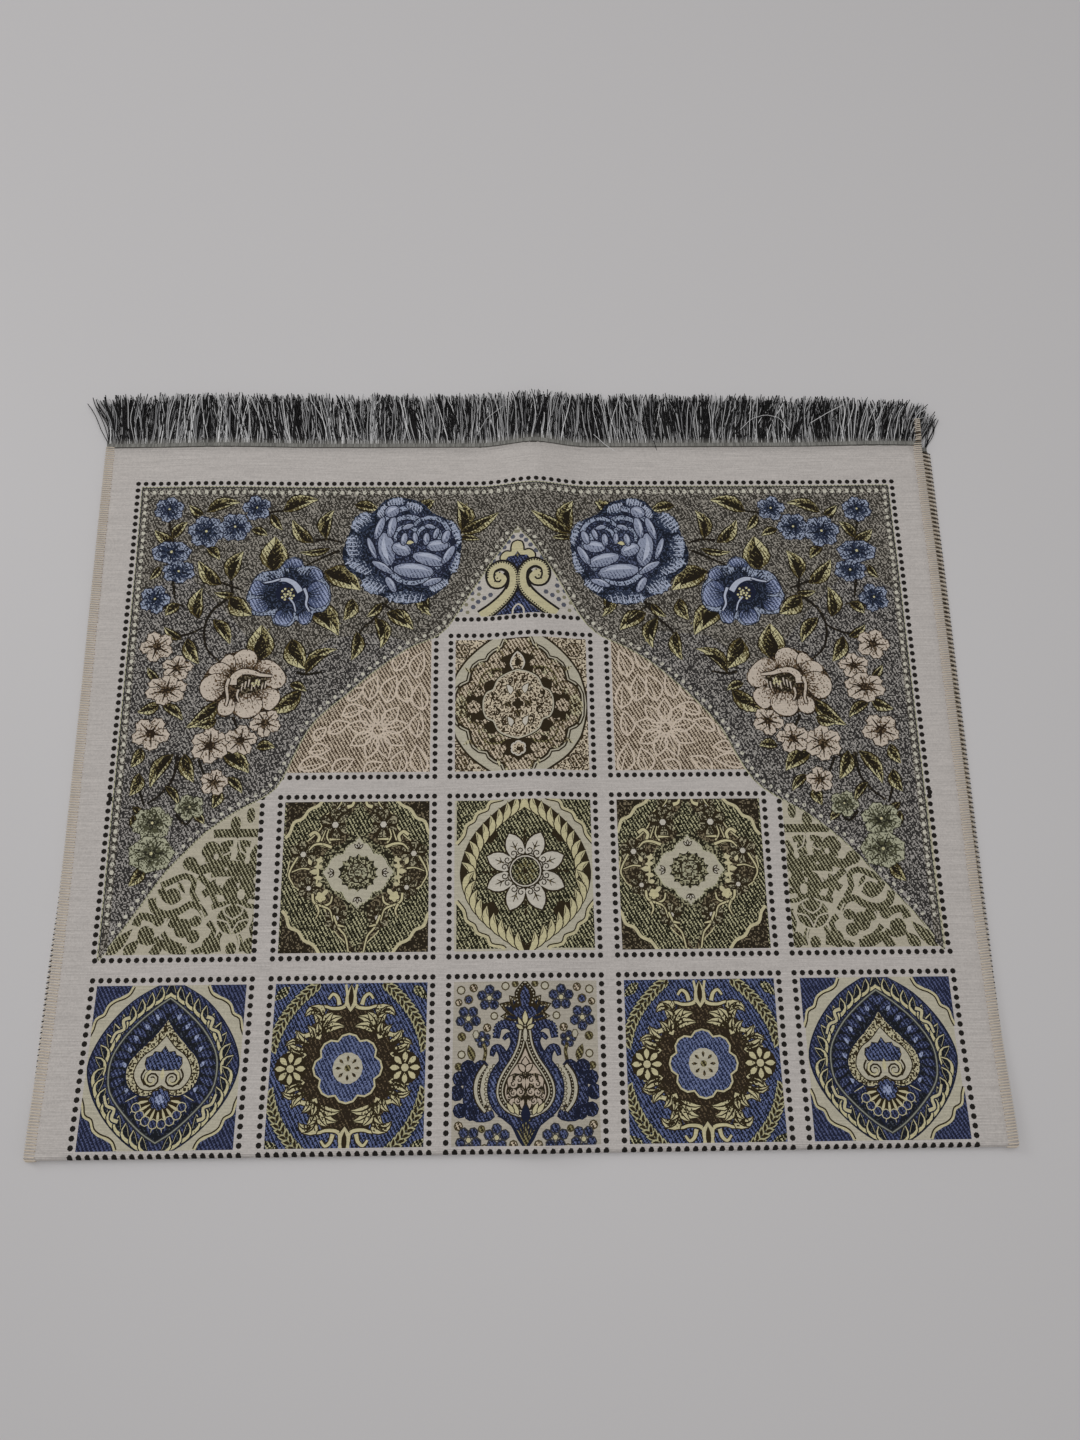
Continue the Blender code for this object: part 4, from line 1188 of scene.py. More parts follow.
for base, tip, wide, bend in (
    (-279+465j, -295+475j, 8, 0.12), (-280+467j, -268+482j, 7.5, 0.1), (-256+488j, -268+497j, 6, 0.1),
    (-254+490j, -226+499j, 9, 0.14), (-217+475j, -203+469j, 6, 0.1), (-192+491j, -163+502j, 12, 0.12),
    (-201+489j, -191+474j, 6, -0.08), (-166+463j, -184+484j, 10, 0.12), (-288+443j, -296+431j, 5, 0.1),
    (-270+410j, -281+400j, 8, -0.1), (-238+426j, -258+448j, 11, 0.1), (-252+460j, -241+448j, 7, 0.1),
    (-231+430j, -222+456j, 12, 0.14), (-227+418j, -244+420j, 5, 0.1), (-254+397j, -253+424j, 11, 0.16),
    (-231+416j, -212+400j, 14, -0.1), (-243+397j, -228+375j, 9, 0.1), (-198+438j, -197+469j, 21, 0.0),
    (-204+361j, -204+392j, 20, 0.0), (-266+380j, -281+391j, 6, 0.1), (-262+381j, -251+359j, 10, -0.1),
    (-281+346j, -291+357j, 5, 0.1), (-156+466j, -150+493j, 10, 0.18), (-152+458j, -178+455j, 5, 0.1),
    (-134+497j, -113+491j, 8, 0.1), (-79+490j, -68+501j, 9, 0.16), (-46+473j, -50+501j, 13, -0.2),
    (-49+471j, -15+489j, 9.5, -0.05), (-48+467j, -31+465j, 4.5, 0.06), (-157+438j, -127+421j, 18, 0.1),
    (-133+414j, -140+395j, 10, 0.14), (-72+420j, -70+398j, 9, -0.3), (-170+406j, -143+382j, 17, 0.16),
    (-106+402j, -84+387j, 12, 0.1), (-115+398j, -110+371j, 10, 0.2), (-129+386j, -133+361j, 9, 0.14),
    (-180+380j, -167+354j, 16, -0.12), (-168+350j, -143+371j, 9, 0.2), (-110+410j, -122+398j, 6, 0.1),
    (-100+404j, -92+396j, 4, 0.1), (-279+328j, -296+320j, 8, 0.1), (-277+326j, -260+313j, 7, 0.1),
    (-234+329j, -258+307j, 11, 0.1), (-234+314j, -250+309j, 7, 0.1), (-203+291j, -188+291j, 7, 0.14),
    (-228+286j, -207+271j, 12, 0.12), (-170+337j, -196+319j, 12, 0.1), (-290+292j, -297+276j, 8, 0.1),
    (-290+272j, -296+254j, 9, 0.14), (-265+287j, -281+260j, 10, -0.12), (-257+287j, -248+264j, 10, -0.1),
    (-229+259j, -233+244j, 8, 0.1), (-224+268j, -211+255j, 6, 0.1), (-281+201j, -291+186j, 8, 0.1),
    (-270+262j, -258+246j, 5, 0.1), (-292+240j, -286+226j, 5, -0.1), (-180+342j, -166+336j, 6, 0.1),
    (-293+246j, -284+236j, 4, 0.1), (-247+240j, -238+232j, 5, 0.1),
):
    lit, shaded, hand = ("left", "right", 1) if (tip - base).real < 4 else ("right", "left", -1)
    wide *= 1.05
    weave(leaf(base, tip, wide + 2.4, bend, 6), LEAF_EDGE, "x")
    weave(leaf(base, tip, wide, bend, 6), LEAF_LIGHT, "x", shade=(tip, base, 0.1))
    weave(leaf(base, tip, wide * 0.72, bend, 6, shaded), LEAF_SHADE, "x")
    weave(leaf(base, base + (tip - base) * 0.75, wide * 0.5, bend, 5), LEAF_EDGE, "x")
    spine = leaf(base, tip, 0.01, bend, 7)[:7]
    weave(stroke(spine[3:], 1.2, 0.4), LEAF_EDGE, "x")
    if wide > 7:
        for spot, way in zip(spine[1:5], (spine[2:6] - spine[:4]) / abs(spine[4] - spine[2])):
            weave(stroke([spot, spot + way * spun(42 * hand) * wide * 0.44], 0.9, 0.3), LEAF_EDGE, "x")
            weave(stroke([spot, spot + way * spun(-42 * hand) * wide * 0.44], 0.4, 0.9), LEAF_SHADE, "x")

# Small flowers with notched petals, dark toward their hearts.
PALE_BLUE = mixed(dyed(140, 149, 168), dyed(34, 42, 60), 0.62, 0.6)
FLOAT_BLUE = plain(dyed(158, 164, 180))
DEEP = mixed(dyed(56, 65, 86), dyed(18, 23, 34), 0.33, 0.8)
PALE_BEIGE = mixed(dyed(178, 167, 154), dyed(84, 68, 50), 0.85, 0.7)
UMBER = mixed(dyed(96, 80, 60), dyed(36, 27, 17), 0.3, 0.8)
PALE_SAGE = mixed(dyed(156, 156, 134), dyed(66, 66, 48), 0.75, 0.7)
MOSS = mixed(dyed(86, 86, 68), dyed(34, 33, 24), 0.4, 0.8)


def blossom(centre, radius, count, turn, petal, shadow, inner_share, squash=1.0):
    """A flower of round notched petals that overlap, with a dark heart."""
    weave(lobed(centre, radius * 0.72, count, 0.3, turn, 5, squash), shadow, "x")
    for number in range(count):
        way = spun(turn + 360 * number / count)
        way = complex(way.real, way.imag * squash)
        shape = lobed(centre + way * radius * 0.6, radius * 0.44, 7, 0.16, turn, 2, squash)
        outlined(shape, petal, NAVY if petal is PALE_BLUE else shadow, 0.7, "x",
                 (centre + way * radius * 0.9, centre + way * radius * 0.15, inner_share))
        weave(stroke([centre + way * radius * 0.15, centre + way * radius * 0.85], 2.0, 0.5), shadow, "x")
    weave(disc(centre, radius * 0.28, 6, squash), shadow, "x")
    if petal is not PALE_BEIGE:
        weave(disc(centre + 0.5j, radius * 0.08, 5), LEAF_LIGHT, "x")


for centre, radius, count, turn, squash in (
    (-284+493j, 12, 6, 20, 0.9), (-253+473j, 14.5, 6, 50, 0.95), (-230+477j, 13, 6, 0, 0.95),
    (-213+494j, 11.5, 5, 30, 0.95), (-280+455j, 16, 7, 10, 0.6), (-273+438j, 13, 6, 40, 0.75),
    (-290+414j, 12, 5, 70, 1.0),
):
    blossom(centre, radius, count, turn, PALE_BLUE, DEEP, 0.12, squash)
for centre, radius, count, turn, squash in (
    (-285+374j, 13, 5, 40, 0.95), (-268+356j, 12, 5, 10, 0.85), (-275+338j, 16, 6, 20, 0.75),
    (-284+303j, 14.5, 5, 60, 0.9), (-238+293j, 14.5, 6, 30, 0.95), (-215+297j, 12.5, 5, 10, 0.95),
    (-197+311j, 12, 5, 50, 0.95), (-233+264j, 10.5, 5, 80, 0.95),
):
    blossom(centre, radius, count, turn, PALE_BEIGE, UMBER, 0.55, squash)
for centre, radius, count, turn, squash in (
    (-277+233j, 15, 6, 15, 0.85), (-250+245j, 11, 5, 40, 0.9), (-276+210j, 17, 7, 5, 0.8),
):
    blossom(centre, radius, count, turn, PALE_SAGE, MOSS, 0.15, squash)

# Two mallows on each side, one blue and one beige: wide petals with rays of their shadow yarn, a curled
# petal over the heart and a tuft of stamens.
def mallow(outline, heart, petal, shadow, rays, reach):
    """An open flower: its whole outline, then rays that run out from its heart, thin at their ends."""
    outlined(outline, petal, shadow, 0.8, "x")
    for number, place in enumerate(along(looped(outline), rays)[0]):
        out = 0.72 + 0.09 * (number % 4)
        weave(stroke([heart + (place - heart) * reach, heart + (place - heart) * out], 3.2, 0.4), shadow, "x")
    weave(heart + (outline - heart) * (reach + 0.06), shadow, "x")


blue = np.array([4+40j, 8+51j, 14+57j, 22+58j, 28+60j, 32+67j, 39+70j, 45+67j, 47+62j, 55+62j, 61+58j,
                 63+51j, 67+46j, 69+37j, 68+29j, 63+23j, 56+22j, 54+14j, 48+12j, 43+16j, 38+11j, 31+11j,
                 25+14j, 23+20j, 16+20j, 8+21j, 8+28j, 3+33j]) - 220 + 380j
mallow(smooth(blue, closed=True, steps=2), -183+418j, PALE_BLUE, DEEP, 3.6, 0.5)
for outline, outer, inner in (
    ((30+62j, 34+67j, 40+69j, 45+66j, 44+62j, 36+61j), 37+70j, 37+56j),
    ((50+38j, 52+45j, 58+49j, 65+45j, 68+36j, 66+29j, 58+26j, 52+30j), 68+38j, 48+37j),
    ((50+52j, 54+60j, 61+57j, 62+52j, 57+50j), 61+59j, 48+49j),
    ((26+20j, 27+13j, 36+12j, 40+18j, 37+23j, 30+24j), 33+11j, 34+27j),
    ((45+21j, 46+13j, 51+13j, 54+19j, 52+24j), 50+12j, 46+28j),
    ((5+42j, 9+50j, 15+47j, 18+41j, 10+37j), 4+45j, 22+42j),
    ((5+33j, 9+24j, 17+23j, 20+29j, 13+34j), 5+27j, 24+34j),
):
    shape, outer, inner = (np.asarray(value) - 220 + 380j for value in (outline, outer, inner))
    outlined(smooth(shape, closed=True, steps=2), SKY, NAVY, 0.6, "x", (outer, inner, 0.0))
    for turn in (-26, -13, 0, 13, 26):
        tip = inner + (outer - inner) * spun(turn)
        weave(stroke([inner + (tip - inner) * 0.1, inner + (tip - inner) * (0.72 + 0.004 * turn)], 1.5, 0.3),
              DEEP, "x")
weave(disc(-184+419j, 11, 10, 0.8), NAVY, "x")
for path, wide, end_wide in (
    ((26+50j, 33+50.5j, 40+47j, 45+40j), 2.4, 5.0), ((48+43j, 50.5+36j, 50+29j, 53+23j), 2.2, 1.2),
    ((36+35j, 40+30j, 42+23j), 1.4, 1.0), ((16+48j, 22+49j, 28+51j), 1.2, 1.6),
):
    curve = smooth(np.asarray(path) - 220 + 380j)
    outlined(stroke(curve, wide, end_wide), FLOAT_BLUE, NAVY, 1.0, "x")

beige = np.array([11+41j, 14+49j, 18+56j, 26+62j, 30+67j, 36+68j, 42+71j, 50+69j, 55+63j, 63+62j, 71+57j,
                  77+49j, 76+42j, 71+38j, 74+29j, 67+21j, 59+20j, 53+15j, 44+15j, 38+19j, 32+16j, 26+19j,
                  25+28j, 17+29j]) - 260 + 300j
outlined(smooth(beige, closed=True, steps=2), UMBER, UMBER, 0.6, "x")
for outline, outer, inner in (
    ((33+56j, 36+66j, 43+71j, 51+69j, 54+62j, 50+55j, 42+53j), 45+72j, 44+50j),
    ((26+58j, 27+63j, 32+67j, 36+64j, 37+57j, 33+53j), 28+66j, 36+50j),
    ((17+52j, 20+58j, 27+60j, 33+56j, 33+50j, 26+49j), 17+58j, 38+48j),
    ((11+40j, 14+47j, 22+51j, 31+49j, 31+41j, 28+34j, 22+29j, 14+32j), 10+40j, 37+42j),
    ((52+56j, 58+62j, 66+61j, 73+55j, 77+47j, 74+40j, 66+39j, 61+45j, 60+51j), 78+54j, 52+44j),
    ((57+36j, 66+39j, 73+34j, 72+27j, 66+21j, 60+24j, 57+30j), 74+25j, 50+40j),
    ((39+26j, 42+32j, 50+35j, 58+31j, 60+24j, 55+17j, 46+15j, 40+19j), 50+13j, 47+44j),
    ((26+25j, 29+30j, 36+31j, 39+25j, 37+19j, 32+17j, 27+19j), 30+14j, 38+42j),
):
    shape, outer, inner = (np.asarray(value) - 260 + 300j for value in (outline, outer, inner))
    outlined(smooth(shape, closed=True, steps=2), PALE_BEIGE, UMBER, 0.7, "x",
             (inner + (outer - inner) * 0.7, inner, 0.1))
    for turn in (-24, -12, 0, 12, 24):
        tip = inner + (outer - inner) * spun(turn)
        weave(stroke([inner + (tip - inner) * 0.15, inner + (tip - inner) * (0.56 + 0.005 * turn)], 1.1,
                     0.3), UMBER, "x")
heart = smooth(np.array([38+40j, 40+48j, 48+51j, 57+50j, 63+47j, 60+39j, 50+35j, 42+35j]) - 260 + 300j,
               closed=True, steps=2)
weave(heart, BARK, "x")
for step in range(8):
    foot = complex(-217 + 2.6 * step, 337 + 1.6 * (step % 3))
    weave(stroke([foot, foot + 0.8 + 6j], 0.6, 1.3), PALE_BEIGE, "x")
for path, wide, end_wide in (
    ((36+42j, 37+48j, 43+52.5j, 51+52j, 57+50j, 66+49j), 6.4, 1.6),
    ((33+47j, 31.5+40j, 33+31j, 32+25j), 2.2, 1.4), ((41+38j, 40+33j, 42+28j), 1.6, 1.0),
):
    curve = smooth(np.asarray(path) - 260 + 300j)
    outlined(stroke(curve, wide, end_wide), PALE_BEIGE, UMBER, 1.0, "x")
for centre, rings in ((-185+418j, 3), (-206+343j, 2)):
    for ring in range(rings):
        for number in range(3 + 4 * ring):
            place = centre + 2.5 * ring * spun(360 * number / (3 + 4 * ring) + 25 * ring)
            weave(disc(place, 1.1, 5), LEAF_LIGHT if (number + ring) % 3 else DARK_BROWN, "x")

# A full blue rose on each side, high in the field: ragged pale petals outside and folded ones round its
# heart, with deep navy between them.
whole = smooth([-133+482j, -118+490j, -108+501j, -96+503j, -80+499j, -70+489j, -58+483j, -48+470j, -48+452j,
                -56+432j, -62+422j, -76+413j, -92+409j, -104+414j, -120+421j, -128+432j, -139+441j,
                -142+455j, -138+466j], closed=True)
outlined(whole, DEEP, DEEP, 0.6, "x")
for centre, long, wide, lean, inward in (
    (-127+481j, 22, 15, 50, 8-6j), (-133+458j, 26, 14, 100, 9+0j), (-128+442j, 26, 11, -30, 7+5j),
    (-116+426j, 22, 17, -20, 6+7j), (-90+415j, 34, 11, 0, 2+8j), (-65+426j, 18, 10, 30, -5+6j),
    (-53+446j, 22, 10, 80, -8+2j), (-54+471j, 26, 13, 110, -8-3j), (-100+498j, 16, 11, 20, 2-7j),
    (-85+494j, 16, 10, -20, -1-7j), (-110+490j, 14, 10, 60, 4-6j),
):
    shape = centre + spun(lean) * lobed(0, long / 2, 12, 0.12, 0, 2, wide / long)
    outlined(shape, PALE_BLUE, DEEP, 0.7, "x", (centre - inward * 0.6, centre + inward, 0.1))
    for step in (-0.36, -0.22, -0.08, 0.06, 0.2, 0.34):
        spot = centre + spun(lean) * long * step
        weave(stroke([spot + inward * 0.25, spot - inward * 0.55], 0.5, 1.1), FLOAT_BLUE, "x")
weave(ellipse(-85+457j, 70, 64, 10, 18), mixed(dyed(80, 88, 114), dyed(26, 30, 44), 0.35, 0.7), "x")
FLAT_BLUE = mixed(dyed(130, 137, 156), dyed(66, 73, 94), 0.85, 0.4)
for centre, radius, start, end, wide in (
    (-90+470j, 16, 50, 190, 4.6), (-72+470j, 15.5, -40, 150, 4.4), (-91+468j, 9.5, 30, 200, 3.6),
    (-73+468j, 9.5, -30, 180, 3.8), (-84+462j, 33, 100, 165, 4.4), (-84+460j, 27, -50, 20, 3.6),
    (-86+447j, 20, 200, 330, 4.6),
):
    turns = np.radians(np.linspace(start, end, 8))
    outlined(stroke(centre + radius * np.exp(1j * turns), wide, wide * 0.6), PALE_BLUE, NAVY, 0.9, "x")
for centre, long, wide, lean in (
    (-107+457j, 30, 13.5, 100), (-95+457j, 16, 11, -25), (-85+438j, 33, 13, -6), (-73+448j, 27, 11, -16),
    (-66+460j, 18, 10, 5), (-119+458j, 20, 4.4, 110), (-110+441j, 20, 5, -32), (-103+477j, 19, 7, 80),
    (-113+476j, 21, 6, 72), (-57+452j, 18, 6, 60), (-103+426j, 15, 6, -60), (-59+468j, 12, 6, 70),
    (-103+491j, 12, 10, 30), (-93+466j, 11, 5, 80), (-84+467j, 10, 4, 95), (-75+466j, 11, 5, 85),
    (-67+471j, 10, 4, 70), (-90+477j, 10, 3.4, 20), (-72+477j, 9, 3, -10), (-70+428j, 16, 5, 20),
):
    outlined(ellipse(centre, long, wide, lean), FLAT_BLUE, NAVY, 0.9, "x", (centre + 3j, centre - 4j, 0.55))
    reach = spun(lean) * long * 0.4
    weave(leaf(centre - reach + 1j, centre + reach + 1j, wide * 0.3, 0.1), FLOAT_BLUE, "x")
weave(leaf(-91+462j, -85+463j, 3.4, 0.1), LEAF_LIGHT, "x")

# On the right these flowers sit a little nearer the middle, and lower, than a true mirror image would.
RIGHT_SHIFT = -4.8-1.5j
for number, (outline, *yarns, start, end, grain) in enumerate(figures[first:], first):
    if outline.real.mean() > 0:
        figures[number] = (outline + RIGHT_SHIFT, *yarns, start + RIGHT_SHIFT, end + RIGHT_SHIFT, grain)

# The half underneath hides its face, which the photo never shows, so it goes on plainly: the same tiles
# with an oval and a flower each, inside the same dotted lines.
for row, (up, half_up) in enumerate(ROWS_MM):
    for column, (across, half_across) in enumerate(COLUMNS_MM):
        middle, half = complex(across, -up - 4), complex(half_across, half_up)
        ground, inner = ((BLUE, DARK_BROWN), (GREEN, BARK), (BEIGE, BROWN), (BARK, GREEN))[(row + column) % 4]
        field = half - complex(FIELD_INSET, FIELD_INSET)
        weave(box(-field, field), ground, at=middle)
        weave(leaf(-0.96j * field.imag, 0.96j * field.imag, 76, 0, 9), CREAM, at=middle)
        weave(leaf(-0.8j * field.imag, 0.8j * field.imag, 60, 0, 9), inner, at=middle)
        for outline in petals(0, 8, 5, 20, 9):
            weave(outline, IVORY, at=middle)
        dots(looped(box(middle - half, middle + half)), 9.2, DOT_RADIUS, BLACK, corners=4)


# ---------------------------------------------------------------- Weaving the sheet
# The outlines of all figures are drawn into one mesh, so that the cloth stays a single sheet with its
# figures inlaid. Each triangle takes the yarns of the last figure that it lies in. The plain back of
# the cloth and its edges close the sheet.
GRID_STEP = 12.0
RIDGE_STEP = 6
FOLD_STEPS = np.linspace(-4, 4, 13)
OUTLINE_TOLERANCE = 0.01
STRAIGHT_WITHIN = 0.04
STRAIGHT_REACH = 1.5 * LONGEST_EDGE
STRAIGHTENINGS = 6
SHUFFLE, SHUFFLE_RANGE = 7919, 10007


def inside(outline, points):
    """Whether each point is wound round by the outline."""
    turns = np.zeros(len(points))
    for here, there in zip(outline, np.roll(outline, -1)):
        up = (here.imag <= points.imag) & (there.imag > points.imag)
        down = (here.imag > points.imag) & (there.imag <= points.imag)
        side = (np.conj(there - here) * (points - here)).imag
        turns += np.where(up & (side > 0), 1, 0) - np.where(down & (side < 0), 1, 0)
    return turns != 0


def inlaid(points, edges):
    """Triangles over these points that keep to these edges, and the last figure that holds each one."""
    result = delaunay_2d_cdt([Vector((p.real, p.imag)) for p in points], edges, [], 0, OUTLINE_TOLERANCE)
    flat, faces = np.array([complex(*vert) for vert in result[0]]), np.array(result[2])
    centres = flat[faces].mean(1)
    order = np.argsort(centres.imag, kind="stable")
    sorted_along = centres.imag[order]
    owner = np.zeros(len(faces), int)
    for number, (outline, *_) in enumerate(figures):
        first, last = np.searchsorted(sorted_along, (outline.imag.min(), outline.imag.max()))
        near = order[first:last]
        near = near[(centres.real[near] >= outline.real.min()) & (centres.real[near] <= outline.real.max())]
        owner[near[inside(outline, centres[near])]] = number
    return flat, faces, owner


columns = np.linspace(-HALF_WIDTH, HALF_WIDTH, round(2 * HALF_WIDTH / GRID_STEP) + 1)
columns = np.unique(np.concatenate([columns, np.arange(RIDGE_X / MM - 48, RIDGE_X / MM + 49, RIDGE_STEP)]))
rows = np.linspace(LOWER_END, UPPER_END, round((UPPER_END - LOWER_END) / GRID_STEP) + 1)
rows = np.unique(np.concatenate([rows, FOLD_STEPS]))
grid = columns[None, :] + 1j * rows[:, None]
points, edges = list(grid.ravel()), []
for outline, *_ in figures[1:]:
    first = len(points)
    points.extend(outline)
    edges.extend((first + n, first + (n + 1) % len(outline)) for n in range(len(outline)))
flat, faces, owner = inlaid(points, edges)

# Most outlines lie partly under later figures. Only the seams where two different yarns meet stay, so
# the sheet is inlaid again with these alone, without the places that lie in a straight run of a seam. Of
# neighbours on one seam only the first in a shuffled order goes at a time.
looks = {}
look = np.array([looks.setdefault((*light, *dark, share, grain, end_share != share and number), number)
                 for number, (_, light, dark, share, end_share, _, _, grain) in enumerate(figures)])[owner]
sides = np.sort(np.concatenate([faces[:, :2], faces[:, 1:], faces[:, ::2]]), axis=1)
look = np.tile(look, 3)
order = np.lexsort(sides.T)
here, there = order[:-1], order[1:]
seams = sides[here[(sides[here] == sides[there]).all(1) & (look[here] != look[there])]]
for _ in range(STRAIGHTENINGS):
    both = np.concatenate([seams, seams[:, ::-1]])
    both = both[np.argsort(both[:, 0], kind="stable")]
    place, first, count = np.unique(both[:, 0], return_index=True, return_counts=True)
    place, first = place[count == 2], first[count == 2]
    before, after = both[first, 1], both[first + 1, 1]
    chord = flat[after] - flat[before]
    off = abs(((flat[place] - flat[before]) * np.conj(chord)).imag) / np.maximum(abs(chord), STRAIGHT_WITHIN)
    in_line = (off < STRAIGHT_WITHIN) & (abs(chord) < STRAIGHT_REACH)
    place, before, after = place[in_line], before[in_line], after[in_line]
    turn = np.zeros(len(flat), int)
    turn[place] = 1 + place * SHUFFLE % SHUFFLE_RANGE
    alone = (turn[place] > turn[before]) & (turn[place] > turn[after])
    gone = np.zeros(len(flat), bool)
    gone[place[alone]] = True
    seams = np.concatenate([seams[~gone[seams].any(1)], np.stack([before, after], -1)[alone]])
used, seams = np.unique(seams, return_inverse=True)
seams = seams.reshape(-1, 2) + grid.size
flat, faces, owner = inlaid(np.append(grid.ravel(), flat[used]), seams.tolist())

# The back of the cloth is the same grid, under the face, and strips join the two round the edges.
index = len(flat) + np.arange(grid.size).reshape(grid.shape)
back_faces = np.stack([index[:-1, :-1], index[1:, :-1], index[1:, 1:], index[:-1, 1:]], -1).reshape(-1, 4)
rim = np.concatenate([grid[0, :-1], grid[:-1, -1], grid[-1, :0:-1], grid[:0:-1, 0]])
rim_back = np.concatenate([index[0, :-1], index[:-1, -1], index[-1, :0:-1], index[:0:-1, 0]])
rim_face = np.array([np.argmin(np.abs(flat - place)) for place in rim])
rim_faces = np.stack([rim_face, rim_back, np.roll(rim_back, -1), np.roll(rim_face, -1)], -1)
places = np.concatenate([flat, grid.ravel()])
heights = np.concatenate([np.zeros(len(flat)), np.full(grid.size, -THICKNESS)])
sheet_points = on_cloth(places, heights)
sheet_faces = faces.tolist() + back_faces.tolist() + rim_faces.tolist()
rug = mesh_object("rug_weave", sheet_points, faces=sheet_faces)

figure_data = [np.array([figure[part] for figure in figures])[owner] for part in range(1, 8)]
light, dark, share, end_share, start, end, grain = figure_data
toward = (end - start)[:, None]
shade = np.clip(((flat[faces] - start[:, None]) * np.conj(toward)).real / np.abs(toward) ** 2, 0, 1)
face_share = share[:, None] + (end_share - share)[:, None] * shade
corner_place = places[corner_points(rug)]
for name, colour, alpha in (
    ("yarn_light", light, face_share.ravel()),
    ("yarn_dark", dark, np.repeat(grain, 3)),
):
    colours = np.ones((len(corner_place), 4))
    colours[:faces.size] = np.column_stack([np.repeat(colour, 3, axis=0), alpha])
    attribute = rug.data.color_attributes.new(name, "FLOAT_COLOR", "CORNER")
    attribute.data.foreach_set("color", colours.ravel())
cloth_map = rug.data.uv_layers.new(name="cloth_mm")
cloth_map.data.foreach_set("uv", np.stack([corner_place.real, corner_place.imag], -1).ravel())
rug.data.polygons.foreach_set("material_index", [0] * len(faces) + [1] * (len(back_faces) + len(rim_faces)))

# The jacquard weave. On each row of floats either the light or the dark yarn of a figure is on top: in
# the slanting order of a twill where the grain is 0, and scattered where it is 1. Fine ribs run across
# the cloth, with the streaks of uneven yarn.
FLOAT_REPEAT, FLOAT_ROW = 2.85, 1.4
TWILL_STEP = 0.28
SCATTER_CELL = 1.0
RIB_PITCH = 1.0
STREAK_TONE, FLOAT_TONE = 0.34, 0.14
RELIEF, BACK_RELIEF = 0.00022, 0.0003

weave_finish = Finish("jacquard_weave", roughness=0.85, Specular_IOR_Level=0.2)
u, v, _ = weave_finish.axes(weave_finish.node("ShaderNodeUVMap", {"uv_map": "cloth_mm"}))
float_row = (v / FLOAT_ROW).floor()
along_row = u / FLOAT_REPEAT + float_row * TWILL_STEP
one_float = weave_finish.vector((u / SCATTER_CELL).floor(), (v / SCATTER_CELL).floor())
chance = weave_finish.node("ShaderNodeTexWhiteNoise", {"noise_dimensions": "2D"}, {"Vector": one_float})
ordered = along_row.fract()
light, dark = (weave_finish.attribute(name, "Color") for name in ("yarn_light", "yarn_dark"))
share, grain = (weave_finish.attribute(name, "Alpha") for name in ("yarn_light", "yarn_dark"))
on_top = (ordered + (chance - ordered) * grain) < share
yarn = weave_finish.mix(on_top, dark, light)
stretched = weave_finish.vector(u * 0.035, v * 1.05)
streak = weave_finish.node("ShaderNodeTexNoise", {"noise_dimensions": "2D"},
                           {"Vector": stretched, "Scale": 1.0})
tone = 1.0 + (streak - 0.5) * STREAK_TONE + (chance - 0.5) * FLOAT_TONE
weave_finish.drive("Base Color", weave_finish.mix(1.0, yarn, tone, "MULTIPLY"))
rib = (v * (2 * math.pi / RIB_PITCH)).sine() * 0.35
float_height = (on_top - 0.5) * (share < 0.99) * 0.5 + rib + (streak - 0.5) * 1.2
weave_finish.bump(float_height, RELIEF)

back_finish = Finish("weave_back", roughness=0.9)
u, v, _ = back_finish.axes(back_finish.node("ShaderNodeUVMap", {"uv_map": "cloth_mm"}))
floats = back_finish.vector(u * 0.12, v * 1.4)
mottle = back_finish.node("ShaderNodeTexNoise", {"noise_dimensions": "2D"}, {"Vector": floats, "Scale": 1.0})
back_finish.drive("Base Color", back_finish.mix((mottle - 0.35) * 3.0, dyed(84, 74, 60), dyed(172, 158, 140)))
back_finish.bump(mottle, BACK_RELIEF)
rug.data.materials.append(weave_finish.material)
rug.data.materials.append(back_finish.material)
rug.data.shade_smooth()
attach(rug, "root")
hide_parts("rug_cloth")


# ---------------------------------------------------------------- Overlocked side edges
# Both long sides are oversewn with soft thread that wraps round the cloth's edge: pale on the face, black
# and pale by turns on the back, with a line of needle stitches at the inner side of the seam. The right
# one runs on past the cut end as a loose tail.
STITCH_PITCH = 0.0019
STITCH_DEPTH = 0.0072
THREAD_RADIUS = 0.00042
ON_FLOOR = 0.00004
STITCH_SECTION = (
    # from the edge, above the cloth's middle, along the edge: in shares of the depth, the thickness
    # and the pitch
    (1.00, 0.42, 0.00), (0.93, 0.66, 0.10), (0.50, 0.70, 0.30), (0.06, 0.66, 0.45), (-0.06, 0.25, 0.50),
    (-0.06, -0.25, 0.50), (0.06, -0.66, 0.45), (0.50, -0.68, 0.0), (0.93, -0.62, -0.45), (1.00, -0.40, -0.5),
)


def tube(path, radius, sides):
    """The points and faces of a thread of a few sides along a path, closed at its ends."""
    path = np.asarray(path, float)
    ways = np.gradient(path, axis=0)
    ways /= np.linalg.norm(ways, axis=1, keepdims=True)
    out = np.cross(ways, (0.0, 1.0, 0.0) if abs(ways[:, 1]).mean() < 0.8 else (0.0, 0.0, 1.0))
    out /= np.linalg.norm(out, axis=1, keepdims=True)
    side = np.cross(ways, out)
    angles = 2 * math.pi * np.arange(sides) / sides
    reach = np.broadcast_to(radius, len(path))[:, None, None]
    ring = np.cos(angles)[None, :, None] * out[:, None] + np.sin(angles)[None, :, None] * side[:, None]
    points = (path[:, None] + reach * ring).reshape(-1, 3)
    faces = [
        (a * sides + k, a * sides + (k + 1) % sides, (a + 1) * sides + (k + 1) % sides, (a + 1) * sides + k)
        for a in range(len(path) - 1) for k in range(sides)
    ]
    last = (len(path) - 1) * sides
    return points, faces + [tuple(range(sides))[::-1], tuple(range(last, last + sides))]


